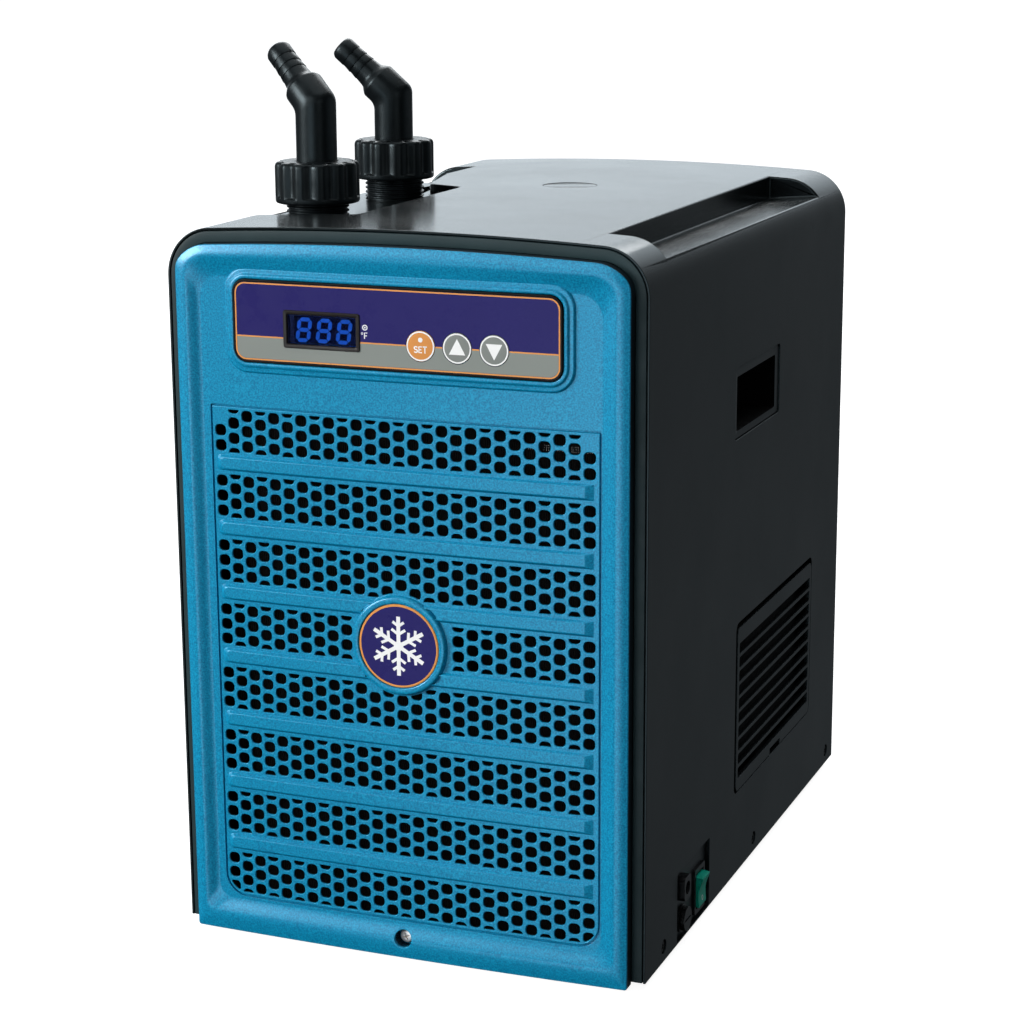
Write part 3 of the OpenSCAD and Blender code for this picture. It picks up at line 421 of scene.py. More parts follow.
def bevel_edges(ob, rule, segs=3, deg=28):
    """rule(middle, a, b) gives the width in mm of an edge's rounding, or 0."""
    bm = bmesh.new()
    bm.from_mesh(ob.data)
    bmesh.ops.remove_doubles(bm, verts=bm.verts, dist=2e-6)
    lay = bm.edges.layers.float.get("bevel_weight_edge") or bm.edges.layers.float.new("bevel_weight_edge")
    groups = {}
    for e in bm.edges:
        if len(e.link_faces) == 2 and e.calc_face_angle(0.0) > math.radians(deg):
            a, b = e.verts[0].co / MM, e.verts[1].co / MM
            w = rule((a + b) / 2, a, b)
            if w > 0:
                groups.setdefault(w, []).append(e)
    top = max(groups) if groups else 1.0
    for w, es in groups.items():
        for e in es:
            e[lay] = w / top
    bm.to_mesh(ob.data)
    bm.free()
    md = ob.modifiers.new("v", "BEVEL")
    md.limit_method, md.width, md.segments, md.use_clamp_overlap = "WEIGHT", top * MM, segs, False
    md.miter_outer = "MITER_SHARP"
    md.harden_normals = False
    apply_mods(ob)


def adopt(ob, name, mat, body="chassis", replaces=(), deg=32):
    """Turns a helper object into a finished piece."""
    ob.name = name
    ob.data.name = name
    ob.data.materials.clear()
    ob.data.materials.append(M[mat])
    bm = bmesh.new()
    bm.from_mesh(ob.data)
    bmesh.ops.remove_doubles(bm, verts=bm.verts, dist=1e-6)
    bmesh.ops.dissolve_degenerate(bm, edges=bm.edges, dist=1e-7)
    bmesh.ops.recalc_face_normals(bm, faces=bm.faces)
    bmesh.ops.triangulate(bm, faces=[q for q in bm.faces if len(q.verts) > 4])
    bm.to_mesh(ob.data)
    bm.free()
    smooth_by_angle(ob.data, deg)
    md = ob.modifiers.new("wn", "WEIGHTED_NORMAL")
    md.keep_sharp = True
    md.weight = 60
    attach(ob, body)
    if replaces:
        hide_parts(*replaces)
    return ob


def arc(cx, cy, r, a0, a1, n):
    return [(cx + r * math.cos(math.radians(a0 + (a1 - a0) * i / n)), cy + r * math.sin(math.radians(a0 + (a1 - a0) * i / n))) for i in range(n + 1)]


def rrect(w, h, r, cx=0.0, cz=0.0, n=8):
    p = []
    for sx, sz, a in ((1, 1, 0), (-1, 1, 90), (-1, -1, 180), (1, -1, 270)):
        p += arc(cx + sx * (w / 2 - r), cz + sz * (h / 2 - r), r, a, a + 90, n)
    return p


def crown(i, n=40, r_steps=20, z0=zb):
    """Outline of the casing moved inwards by i, anticlockwise seen from the back, as (x, z)."""
    R = CR - i
    xt = ex * (CR - i) / (CR - ER)
    p = [(-hx + i, z0), (hx - i, z0)]
    phi = math.degrees(math.atan2(math.sqrt((CR - ER) ** 2 - ex * ex), ex))
    p += arc(ex, ez, ER - i, 0, phi, r_steps)
    for k in range(1, n):
        x = xt - 2 * xt * k / n
        p.append((x, ztop - CR + math.sqrt(R * R - x * x)))
    p += [(-x, z) for x, z in reversed(arc(ex, ez, ER - i, 0, phi, r_steps))]
    return p


def loft(loops, close=True, cap0=False, cap1=False):
    """loops: arrays of the same number of points. Returns verts, faces."""
    n = len(loops[0])
    v = np.concatenate([np.asarray(l, float) for l in loops])
    f = []
    for k in range(len(loops) - 1):
        a, b = k * n, (k + 1) * n
        for i in range(n if close else n - 1):
            j = (i + 1) % n
            f.append((a + i, a + j, b + j, b + i))
    if cap0:
        f.append(tuple(range(n - 1, -1, -1)))
    if cap1:
        f.append(tuple(range((len(loops) - 1) * n, len(loops) * n)))
    return v, f


def lathe(profile, segs=64, origin=(0, 0, 0), axis="Z"):
    """profile: (radius, height) pairs."""
    loops = []
    for r, h in profile:
        a = np.arange(segs) * 2 * np.pi / segs
        c, s = r * np.cos(a), r * np.sin(a)
        o = np.full(segs, float(h))
        l = {"Z": (c, s, o), "-Y": (c, -o, s), "X": (o, c, s)}[axis]
        loops.append(np.stack(l, 1) + np.asarray(origin, float))
    return loft(loops, True, profile[0][0] > 1e-6, profile[-1][0] > 1e-6)


def bow(x):
    return np.asarray(x, float) ** 2 / (2 * BOW)


def face_out(verts, faces):
    return verts, faces


# ------------------------------------------------------------------ the front panel
def rr_loop(x0, x1, z0, z1, rt, rb, nc=10, nx=28, nz=44, rtr=None, rtl=None, rbl=None, rbr=None):
    """Rounded rectangle with its own corner radii; every loop has the same points in the same order."""
    rtr = rt if rtr is None else rtr
    rtl = rt if rtl is None else rtl
    rbl = rb if rbl is None else rbl
    rbr = rb if rbr is None else rbr
    p = []

    def side(a, b, n):
        for i in range(1, n):
            p.append((a[0] + (b[0] - a[0]) * i / n, a[1] + (b[1] - a[1]) * i / n))
    p += arc(x1 - rbr, z0 + rbr, rbr, -90, 0, nc)
    side((x1, z0 + rbr), (x1, z1 - rtr), nz)
    p += arc(x1 - rtr, z1 - rtr, rtr, 0, 90, nc)
    side((x1 - rtr, z1), (x0 + rtl, z1), nx)
    p += arc(x0 + rtl, z1 - rtl, rtl, 90, 180, nc)
    side((x0, z1 - rtl), (x0, z0 + rbl), nz)
    p += arc(x0 + rbl, z0 + rbl, rbl, 180, 270, nc)
    side((x0 + rbl, z0), (x1 - rbr, z0), nx)
    return np.array(p)


def smoothstep(t):
    t = np.clip(t, 0, 1)
    return t * t * (3 - 2 * t)


def warp(p):
    """Panel plane (x, z) to the crowned outline."""
    x, z = p[:, 0], p[:, 1]
    return z - x * x / (2 * CR) * smoothstep((z - 358) / 18)


def seg_poly_dist(px, pz, loop):
    a, b = loop, np.roll(loop, -1, 0)
    best = np.full(len(px), 1e9)
    for (ax, az), (bx, bz) in zip(a, b):
        dx, dz = bx - ax, bz - az
        L = dx * dx + dz * dz + 1e-12
        t = np.clip(((px - ax) * dx + (pz - az) * dz) / L, 0, 1)
        best = np.minimum(best, np.hypot(px - ax - t * dx, pz - az - t * dz))
    return best


def inside(px, pz, loop):
    r = np.zeros(len(px), bool)
    a, b = loop, np.roll(loop, -1, 0)
    for (ax, az), (bx, bz) in zip(a, b):
        if az == bz:
            continue
        c = ((az > pz) != (bz > pz)) & (px < (bx - ax) * (pz - az) / (bz - az) + ax)
        r ^= c
    return r


class Sheet:
    """Collects front-face vertices as (x, z, height over the field) and faces."""
    def __init__(self):
        self.v, self.f, self.flat = [], [], []

    def add(self, p, h, flat=False):
        s = len(self.v)
        hh = np.broadcast_to(np.asarray(h, float), (len(p),))
        for (x, z), q in zip(p, hh):
            self.v.append((x, z, q))
            self.flat.append(flat)
        return np.arange(s, s + len(p))

    def strip(self, a, b):
        n = len(a)
        for i in range(n):
            j = (i + 1) % n
            self.f.append((int(a[i]), int(a[j]), int(b[j]), int(b[i])))


S = Sheet()
FOOT = rr_loop(-109, 108, 20, 356, 12, 8)
CREST = rr_loop(-116, 115.5, 12, 368, 13, 5)
OUT = rr_loop(-122.4, 122.4, 1.8, 374.8, 17.4, 1.5)
OUT_I = rr_loop(-121.75, 121.75, 2.45, 374.15, 16.75, 1.2)
rows = [(FOOT, 0.0, True)]
for t in (0.03, 0.10, 0.22, 0.36, 0.5, 0.64, 0.78, 0.9):
    rows.append((FOOT + (CREST - FOOT) * t, 3.0 * (0.55 * t + 0.45 * float(smoothstep(t)) - 0.25 * max(0.0, t - 0.7) ** 1.2 * 0), False))
rows.append((CREST, 3.0 - 0.04, False))
rows[-2] = (rows[-2][0], 2.80, False)
rows[-3] = (rows[-3][0], 2.42, False)
for t, h in ((0.15, 2.98), (0.35, 2.86), (0.6, 2.52), (0.85, 2.05)):
    rows.append((CREST + (OUT_I - CREST) * t, h, False))
rows.append((OUT_I, 1.72, False))
for k in range(1, 5):
    a = math.pi / 2 * k / 4
    rows.append((OUT_I + (OUT - OUT_I) * math.sin(a), 1.72 - 0.65 * (1 - math.cos(a)), False))
ids = [S.add(p, h, fl) for p, h, fl in rows]
for a, b in zip(ids, ids[1:]):
    S.strip(a, b)
foot_ids, out_ids = ids[0], ids[-1]

# round recess of the front screw, let into the lower border as a finer patch
n_in = next(k for k, q in enumerate(rows) if q[0] is OUT_I)
low_z = np.array([[q[0][:, 1].min(), q[1]] for q in rows[:n_in + 1]])
base_x = FOOT[:, 0]
low_side = [k for k in range(len(FOOT)) if abs(FOOT[k, 1] - 20) < 1e-6]
j0 = max((k for k in low_side if base_x[k] < -9), key=lambda k: base_x[k])
j1 = min((k for k in low_side if base_x[k] > 9), key=lambda k: base_x[k])
ring_n = len(FOOT)
span = [(j0 + k) % ring_n for k in range((j1 - j0) % ring_n + 1)]
cut = {(i, k) for i in range(n_in) for k in span[:-1]}
S.f = [q for i_ in range(len(rows) - 1) for k_, q in enumerate(S.f[i_ * ring_n:(i_ + 1) * ring_n]) if (i_, k_) not in cut]
edge_v = [int(ids[0][k]) for k in span] + [int(ids[i][span[-1]]) for i in range(1, n_in + 1)] + [int(ids[n_in][k]) for k in reversed(span[:-1])] + [int(ids[i][span[0]]) for i in range(n_in - 1, 0, -1)]


def low_h(z):
    o = np.argsort(low_z[:, 0])
    return np.interp(z, low_z[o, 0], low_z[o, 1])


def scr_ring(rad, drop, fixed=None, n=56):
    a = np.arange(n) * 2 * np.pi / n
    p = np.stack([rad * np.cos(a), 12.6 + rad * np.sin(a)], 1)
    return S.add(p, low_h(p[:, 1]) - drop if fixed is None else fixed)


SCR = [scr_ring(5.15, 0.0), scr_ring(4.95, 0.05), scr_ring(4.78, 0.2), scr_ring(4.7, 0.45), scr_ring(4.7, 0, -4.3)]
for a, b in zip(SCR, SCR[1:]):
    S.strip(a, b)
pv = np.array([S.v[k] for k in edge_v])[:, :2]
px_, pz_ = np.meshgrid(np.arange(-10.4, 10.5, 1.3), low_z[1:-1, 0])
gp = np.stack([px_.ravel(), pz_.ravel()], 1)
xmin, xmax = pv[:, 0].min(), pv[:, 0].max()
gp = gp[(gp[:, 0] > xmin + 0.8) & (gp[:, 0] < xmax - 0.8) & (np.hypot(gp[:, 0], gp[:, 1] - 12.6) > 5.6)]
gi = S.add(gp, low_h(gp[:, 1]))
lid = edge_v + [int(k) for k in SCR[0]] + [int(k) for k in gi]
lp_ = [tuple(S.v[k][:2]) for k in lid]
m0, m1 = len(edge_v), len(SCR[0])
le = [(k, (k + 1) % m0) for k in range(m0)] + [(m0 + k, m0 + (k + 1) % m1) for k in range(m1)]
cd = delaunay_2d_cdt([Vector(q) for q in lp_], le, [], 0, 1e-5)
for tri in cd[2]:
    c_ = np.mean([cd[0][k] for k in tri], axis=0)
    if inside(np.array([c_[0]]), np.array([c_[1]]), pv)[0] and math.hypot(c_[0], c_[1] - 12.6) > 5.13:
        S.f.append(tuple(lid[cd[3][k][0]] for k in tri))

loops = []   # closed rings of vertex numbers that bound the flat areas


def nested(rings):
    """rings: (points, height, flat) from the outermost in; returns the ids."""
    r = [S.add(p, h, fl) for p, h, fl in rings]
    for a, b in zip(r, r[1:]):
        S.strip(a, b)
    return r


# border groove of the grille
def gl(o):
    return rr_loop(-104.7 - o, 107.3 + o, 22 - o, 289.5 + o, 0.8 + o * 0.5, 12 + o, nc=8, nx=30, nz=34)


G = nested([(gl(0.55), 0.0, True), (gl(0.42), -0.08, False), (gl(0.34), -1.4, False), (gl(-0.48), -1.4, False), (gl(-0.54), -0.32, False), (gl(-0.76), -0.09, False), (gl(-1.05), 0.0, True)])
G_out, G_in = G[0], G[-1]

# bars
BARS = []
for i in range(7):
    zt, zl = 263.6 - 34.5 * i, 255.3 - 34.5 * i
    base = rr_loop(-102.3, 104.3, zl, zt, 0.8, 0.8, nc=4, nx=26, nz=3, rtl=2.6, rbl=2.4, rtr=0.5, rbr=0.5)
    face = rr_loop(-99.6, 99.4, 256.7 - 34.5 * i, 262.5 - 34.5 * i, 0.8, 0.8, nc=4, nx=26, nz=3, rtl=2.2, rbl=2.2, rtr=0.5, rbr=0.5)
    rg = [(base, 0.0, True), (base + (face - base) * 0.08, 0.07, False), (base + (face - base) * 0.2, 0.28, False), (base + (face - base) * 0.5, 0.80, False),
          (base + (face - base) * 0.84, 1.38, False), (base + (face - base) * 0.94, 1.53, False), (face, 1.6, False)]
    c = face.mean(0)
    sh = np.array([1 - 0.9 / 99.5, 1 - 0.45 / 2.7])
    inner = c + (face - c) * sh
    rg.append((inner, 1.6, True))
    r = nested(rg)
    BARS.append((base, inner, r[0], r[-1]))

# emblem boss
BOSS = 26.5


def circ(r, n=96):
    a = np.arange(n) * 2 * np.pi / n - np.pi / 2
    return np.stack([r * np.cos(a), emb_z + r * np.sin(a)], 1)


B = nested([(circ(BOSS), 0.0, True), (circ(26.35), 0.12, False), (circ(26.15), 0.55, False), (circ(25.8), 1.55, False), (circ(25.4), 2.05, False), (circ(24.8), 2.33, False),
            (circ(23.9), 2.4, False), (circ(22.9), 2.36, False), (circ(22.45), 2.2, False), (circ(22.3), 1.9, False), (circ(22.3), 0.82, False)])
boss_out = B[0]


# raised surround of the label
def lab(w, h, r):
    return rr_loop(-w / 2, w / 2, label_z - h / 2, label_z + h / 2, r, r, nc=8, nx=30, nz=8)


SUR = nested([(lab(LW + 15.4, LH + 15.4, 12.5), 0.0, True), (lab(LW + 15.0, LH + 15.0, 12.3), 0.1, False), (lab(LW + 14.2, LH + 14.2, 12), 0.75, False), (lab(LW + 13.4, LH + 13.4, 11.7), 1.16, False),
              (lab(LW + 12.4, LH + 12.4, 11.3), 1.25, False), (lab(LW + 9.6, LH + 9.6, 10.2), 1.22, False), (lab(LW + 9.0, LH + 9.0, 9.9), 1.32, False), (lab(LW + 8.2, LH + 8.2, 9.4), 1.85, False),
              (lab(LW + 7.4, LH + 7.4, 9.0), 2.12, False), (lab(LW + 6.4, LH + 6.4, 8.6), 2.2, False), (lab(LW + 4.8, LH + 4.8, 7.8), 2.16, False), (lab(LW + 4.1, LH + 4.1, 7.4), 1.95, False),
              (lab(LW + 3.8, LH + 3.8, 7.2), 1.5, False), (lab(LW + 3.8, LH + 3.8, 7.2), -0.25, False)])
sur_out, sur_in = SUR[0], SUR[-1]

# holes: rounded squares, cut off straight by the ends of their band and round by the emblem's boss
def resample(p, n):
    q = np.vstack([p, p[:1]])
    d = np.hypot(*(q[1:] - q[:-1]).T)
    t = np.concatenate([[0], np.cumsum(d)])
    u = np.linspace(0, t[-1], n + 1)[:-1]
    return np.stack([np.interp(u, t, q[:, 0]), np.interp(u, t, q[:, 1])], 1)


def area_of(p):
    q = np.roll(p, -1, 0)
    return 0.5 * abs(np.sum(p[:, 0] * q[:, 1] - q[:, 0] * p[:, 1]))


def hole_outline(x, z, lo, hi):
    p = np.array(rrect(HOLE_W, HOLE_H, 2.15, x, z, n=10))
    p = resample(p, 160)
    full = area_of(p)
    p[:, 1] = np.clip(p[:, 1], lo, hi)
    d = np.hypot(p[:, 0], p[:, 1] - emb_z)
    k = np.where(d < BOSS + 0.55, (BOSS + 0.55) / np.maximum(d, 1e-6), 1.0)
    p = np.stack([p[:, 0] * k, emb_z + (p[:, 1] - emb_z) * k], 1)
    for cx, sx in ((-92.7, -1), (95.3, 1)):
        e = p - (cx, 34.0)
        d = np.hypot(e[:, 0], e[:, 1])
        far = (e[:, 0] * sx > 0) & (e[:, 1] < 0) & (d > 10.3)
        p[far] = np.array([cx, 34.0]) + e[far] * (10.3 / d[far])[:, None]
    q = np.roll(p, -1, 0)
    p = p[np.hypot(*(q - p).T) > 1e-4]
    return resample(p, 24), area_of(p) / full


HOLE_W, HOLE_H = 5.95, 5.7
HOLES = []
for b in range(8):
    top = band_top - b * 34.5
    zc = top - 1.5 * 7.95
    for c in range(27):
        x = (c - 13) * 7.74 + 1.0
        for k in ((-1, 0, 1) if c % 2 == 0 else (-1.5, -0.5, 0.5, 1.5)):
            z = zc + k * 7.95
            if b == 0 and c in (0, 26) and k == 1 or math.hypot(x, z - emb_z) < 24:
                continue
            p, left = hole_outline(x, z, top - 3 * 7.95 + (1.05 if b == 7 else 0.5), top - (1.05 if b == 0 else 0.6))
            if left > (0.28 if math.hypot(x, z - emb_z) > BOSS + 4.4 else 0.34):
                HOLES.append(p)


def pushed(p, o):
    """The outline moved outwards by o."""
    t = np.roll(p, -1, 0) - np.roll(p, 1, 0)
    t /= np.linalg.norm(t, axis=1)[:, None]
    return p + o * np.stack([t[:, 1], -t[:, 0]], 1)


hole_ids = []
for p in HOLES:
    r = [S.add(pushed(p, 0.44), 0.0, True), S.add(pushed(p, 0.30), -0.10, False), S.add(pushed(p, 0.12), -0.30, False), S.add(p, -0.55, False)]
    for a, b2 in zip(r, r[1:]):
        S.strip(a, b2)
    hole_ids.append(r)

# constraint loops and grid for the flat areas
V0 = np.array(S.v)
con = [foot_ids, G_out, G_in, boss_out, sur_out] + [r[2] for r in BARS] + [r[0] for r in hole_ids]
bar_in = [r[3] for r in BARS]
pts, back_id, edges = [], [], []
for ring in con + bar_in:
    s = len(pts)
    n = len(ring)
    for q in ring:
        pts.append((V0[q, 0], V0[q, 1]))
        back_id.append(int(q))
    edges += [(s + i, s + (i + 1) % n) for i in range(n)]
gx, gz = np.meshgrid(np.arange(-104, 107, 9.0), np.arange(24, 352, 9.0))
g = np.stack([gx.ravel(), gz.ravel()], 1)
P2 = np.array(pts)
keep = np.ones(len(g), bool)
for i in range(0, len(g), 64):
    d = np.hypot(g[i:i + 64, None, 0] - P2[None, :, 0], g[i:i + 64, None, 1] - P2[None, :, 1]).min(1)
    keep[i:i + 64] = d > 3.2
lz = V0[sur_out]
keep &= ~inside(g[:, 0], g[:, 1], V0[sur_out][:, :2]) & ~inside(g[:, 0], g[:, 1], V0[boss_out][:, :2])
gids = S.add(g[keep], 0.0, True)
for q, p in zip(gids, g[keep]):
    pts.append(tuple(p))
    back_id.append(int(q))
res = delaunay_2d_cdt([Vector(p) for p in pts], edges, [], 0, 1e-5)
tv = np.array([(p.x, p.y) for p in res[0]])
orig = [o[0] if len(o) else -1 for o in res[3]]
new_ids = {}
hole_of = {}
for hi_, r in enumerate(hole_ids):
    for q in r[0]:
        hole_of[int(q)] = hi_
T = np.array([f for f in res[2] if len(f) == 3])
cen = tv[T].mean(1)
L2 = lambda ids_: V0[ids_][:, :2]
ok = inside(cen[:, 0], cen[:, 1], L2(foot_ids))
ok &= ~(inside(cen[:, 0], cen[:, 1], L2(G_out)) & ~inside(cen[:, 0], cen[:, 1], L2(G_in)))
ok &= ~inside(cen[:, 0], cen[:, 1], L2(boss_out)) & ~inside(cen[:, 0], cen[:, 1], L2(sur_out))
on_bar = np.zeros(len(cen), bool)
for base, inner, bo, bi in BARS:
    a_, b_ = inside(cen[:, 0], cen[:, 1], L2(bo)), inside(cen[:, 0], cen[:, 1], L2(bi))
    ok &= ~(a_ & ~b_)
    on_bar |= b_


def vid(k, bar):
    o = orig[k]
    if o >= 0:
        return back_id[o]
    key = (k, bar)
    if key not in new_ids:
        new_ids[key] = int(S.add([tuple(tv[k])], 1.6 if bar else 0.0, True)[0])
    return new_ids[key]


for t, good, bar in zip(T, ok, on_bar):
    if not good:
        continue
    q = [vid(k, bar) for k in t]
    hs = {hole_of.get(i, -1 - n_) for n_, i in enumerate(q)}
    if len(hs) == 1:
        continue
    S.f.append(tuple(q))


def front_xyz(v):
    x, z, h = v[:, 0], v[:, 1], v[:, 2]
    return np.stack([x, field + bow(x) - h, warp(v[:, :2])], 1)


V = np.array(S.v)
nF = len(V)
front = front_xyz(V)
# the pocket floors under the label and the emblem
extra_f = [tuple(int(i) for i in sur_in), tuple(int(i) for i in B[-1]), tuple(int(i) for i in SCR[-1])]
backv = front.copy()
backv[:, 1] += 1.2
# outer wall, 10 mm deep, with its own back edge
OB = rr_loop(-120.4, 120.4, 4.2, 372.8, 15.4, 1.0)
for row, k in zip(ids[-6:], range(6)):
    q = OB
    backv[row, 0] = q[:, 0]
    backv[row, 2] = warp(q)
    backv[row, 1] = front[row, 1] + 2.0
wall_n = len(OUT)
w0 = front[out_ids].copy(); w0[:, 1] = yc + 0.4
w1 = front[out_ids].copy(); w1[:, 1] = yc
w1[:, 0] *= 1 - 0.3 / 122.4
w2 = np.stack([OB[:, 0], np.full(wall_n, yc), warp(OB)], 1)
allv = np.concatenate([front, backv, w0, w1, w2])
F = [tuple(f) for f in S.f] + extra_f
nfront = len(F)
F += [tuple(i + nF for i in reversed(f)) for f in F]
o0, o1, o2 = 2 * nF, 2 * nF + wall_n, 2 * nF + 2 * wall_n
for i in range(wall_n):
    j = (i + 1) % wall_n
    a, b = int(out_ids[i]), int(out_ids[j])
    F.append((a, b, o0 + j, o0 + i))
    F.append((o0 + i, o0 + j, o1 + j, o1 + i))
    F.append((o1 + i, o1 + j, o2 + j, o2 + i))
    F.append((o2 + i, o2 + j, b + nF, a + nF))
for r in hole_ids:
    n = len(r[3])
    for i in range(n):
        a, b = int(r[3][i]), int(r[3][(i + 1) % n])
        F.append((a, b, b + nF, a + nF))
n_wall = 4 * wall_n
n_hole = sum(len(r[3]) for r in hole_ids)
# the back, the outer side wall and the hole walls take the dark material; on the side wall and the hole walls it is
# painted shade
wall_mat = [0] * nfront + [1] * nfront + [1] * n_wall + [1] * n_hole
panel = make("front_panel_shell", allv, F, ["panel_blue", "panel_back_and_shade"], replaces=("front_panel",), deg=50, clean=False, face_mats=wall_mat)
bm = bmesh.new()
bm.from_mesh(panel.data)
bmesh.ops.recalc_face_normals(bm, faces=bm.faces)
bm.to_mesh(panel.data)
bm.free()
# exact normals on the flat areas, so that the lips of the holes don't shade them
me = panel.data
smooth_by_angle(me, 50)
vn = np.zeros(len(me.vertices) * 3)
me.vertices.foreach_get("normal", vn)
nl = np.zeros(len(me.loops) * 3)
me.corner_normals.foreach_get("vector", nl)
nl = nl.reshape(-1, 3)
li = np.zeros(len(me.loops), int)
me.loops.foreach_get("vertex_index", li)
flat = np.zeros(len(me.vertices), bool)
flat[:nF] = S.flat
xf = allv[:, 0]
fl_n = np.stack([xf / BOW, -np.ones(len(xf)), np.zeros(len(xf))], 1)
fl_n /= np.linalg.norm(fl_n, axis=1)[:, None]
use = flat[li]
nl[use] = fl_n[li[use]]
me.normals_split_custom_set([tuple(v) for v in nl])

# ------------------------------------------------------------------ bezel ring behind the panel
def crown_loop(i, y, z_low):
    p = np.array(crown(i, 40, 14, z_low))
    return np.stack([p[:, 0], np.full(len(p), y), p[:, 1]], 1)


prof = [(1.75, -180.0), (1.75, -184.45), (1.9, -184.72), (2.2, -184.8), (7.0, -184.8), (7.3, -184.7), (7.45, -184.3), (7.45, -181.5), (12.8, -181.2), (13.0, -180.9), (13.0, -179.2), (1.8, -179.2)]
lp = [crown_loop(i, y, zb + 0.2 + (12.0 if i > 12 else 0.0)) for i, y in prof]
v, f = loft(lp + [lp[0]])
make("bezel_ring", v, f, "bezel_grey", replaces=("front_bezel",), deg=35)

# ------------------------------------------------------------------ casing
cover = prism(crown(0, 60, 24), "Y", yc, yb)


def channel_cut(g, side=1, y0=-145.0, y1=145.0):
    p = [(95 - g, zb + 362.5 - g), (127.5, zb + 364.7 - g), (150, zb + 366.2 - g), (150, zb + 400), (95 - g, zb + 400)]
    if side < 0:
        p = [(-x, z) for x, z in reversed(p)]
    return prism(p, "Y", y0 - g, y1 + g)


def pocket_cut(g):
    p = [(-51 + g, -125 - g), (-51 + g, 17 + g * 0.6), (-79 + g * 0.7, 35 + g), (-95 + g, 99 + g), (-150, 99 + g), (-150, -125 - g)]
    # rounded inner corners
    q = []
    for k, pt in enumerate(p):
        r = 5.0 if k in (1, 2, 3) else (3.0 if k == 0 else 0.0)
        if not r:
            q.append(pt)
            continue
        a, b = np.array(p[k - 1], float), np.array(p[(k + 1) % len(p)], float)
        c = np.array(pt, float)
        u, w = (a - c) / np.linalg.norm(a - c), (b - c) / np.linalg.norm(b - c)
        for t in np.linspace(0, 1, 7):
            q.append(tuple((1 - t) ** 2 * (c + u * r) + 2 * t * (1 - t) * c + t * t * (c + w * r)))
    return prism(q, "Z", fz - g, fz + 60)


for cutter in (channel_cut(0), channel_cut(0, -1, 97.0), pocket_cut(0)):
    combine(cover, cutter)
core = prism(crown(WALL, 60, 24, zb - 5), "Y", yc - 5, yb + 5)
for cutter in (channel_cut(WALL), channel_cut(WALL, -1, 97.0 + WALL), pocket_cut(WALL)):
    combine(core, cutter)
combine(cover, core)
combine(cover, prism(crown(1.25, 60, 24, zb - 5), "Y", yc - 5, yc + 6))
for s in (1, -1):
    for w, h, r, cy_, cz_ in ((132 + 25.6 + 4.2, 95.7 + 4, 5, 53.2 - 1.5, zb + 96.35 + 1.4), (88, 39.5, 2.5, 6, zb + 272.45)):
        combine(cover, prism(rrect(w, h, r, cy_, cz_, 6), "X", s * 100, s * 150))
    for y in side_y:
        combine(cover, prism([(y + 3.9 * math.cos(a), screw_z + 3.9 * math.sin(a)) for a in np.arange(32) * math.pi / 16], "X", s * 120, s * 150))
combine(cover, prism(rrect(56.9, 38.8, 1.2, -103.25, zb + 20.2, 5), "X", 110, 150))
for y in (fit_y1, fit_y2):
    combine(cover, prism([(fit_x + 17.0 * math.cos(a), y + 17.0 * math.sin(a)) for a in np.arange(64) * math.pi / 32], "Z", fz - 10, fz + 5))
combine(cover, prism([(7.5 + 15.6 * math.cos(a), 38 + 15.6 * math.sin(a)) for a in np.arange(96) * math.pi / 48], "Z", ztop - 1.3, ztop + 4))


def cover_rule(mid, a, b):
    x, y, z = mid
    if y < yc + 0.05:
        return 0.35
    if y > yb - 0.05:
        return 0.6
    if z < zb + 0.1:
        return 0.0
    if z > 364 and -146 < y < 146:
        if math.hypot(x - 7.5, y - 38) < 17:
            return 0.25
        if math.hypot(x - fit_x, y - fit_y1) < 18 or math.hypot(x - fit_x, y - fit_y2) < 18:
            return 0.0
        if abs(x) < hx - 3 or z > 366:
            return 1.1
    if abs(x) > hx - 0.1 and 6 < z < 330:
        return 0.35
    return 0.0


bevel_edges(cover, cover_rule, segs=3)
adopt(cover, "casing_shell", "casing_black", replaces=("casing_cover",), deg=40)

v, f = lathe([(0.0, ztop - 1.2), (15.3, ztop - 1.2), (15.35, ztop - 0.5), (15.2, ztop - 0.28), (14.9, ztop - 0.2), (0.0, ztop - 0.2)], 96, (7.5, 38, 0))
make("top_cap_disc", v, f, "casing_black", replaces=("top_plug",), deg=30)

# ------------------------------------------------------------------ label, gasket, emblem
def plate_loft(rings, mat, name, **kw):
    """rings: (loop of (x, z), y) from the back edge to the middle of the front; capped at both ends."""
    v, f = loft([np.stack([p[:, 0], np.full(len(p), y), p[:, 1]], 1) for p, y in rings], True, True, True)
    return make(name, v, f, mat, **kw)


def rl(w, h, r, cx=0.0, cz=label_z, n=8):
    return np.array(rrect(w, h, r, cx, cz, n))


ly = label_y
VW, VH = LW + 1.0, LH + 0.7
gk = [(rl(LW + 3.2, LH + 3.2, 6.9), -191.8), (rl(LW + 3.2, LH + 3.2, 6.9), ly - 0.02), (rl(LW + 2.9, LH + 2.9, 6.7), ly - 0.12), (rl(LW + 2.2, LH + 2.2, 6.5), ly - 0.14), (rl(VW + 0.5, VH + 0.5, 5.9), ly - 0.12),
      (rl(VW + 0.12, VH + 0.12, 5.7), ly - 0.02), (rl(VW + 0.12, VH + 0.12, 5.7), -191.8)]
v, f = loft([np.stack([p[:, 0], np.full(len(p), y), p[:, 1]], 1) for p, y in gk] + [np.stack([gk[0][0][:, 0], np.full(len(gk[0][0]), -191.8), gk[0][0][:, 1]], 1)])
make("label_rim", v, f, "seal_black", replaces=("label_gasket",), deg=40)

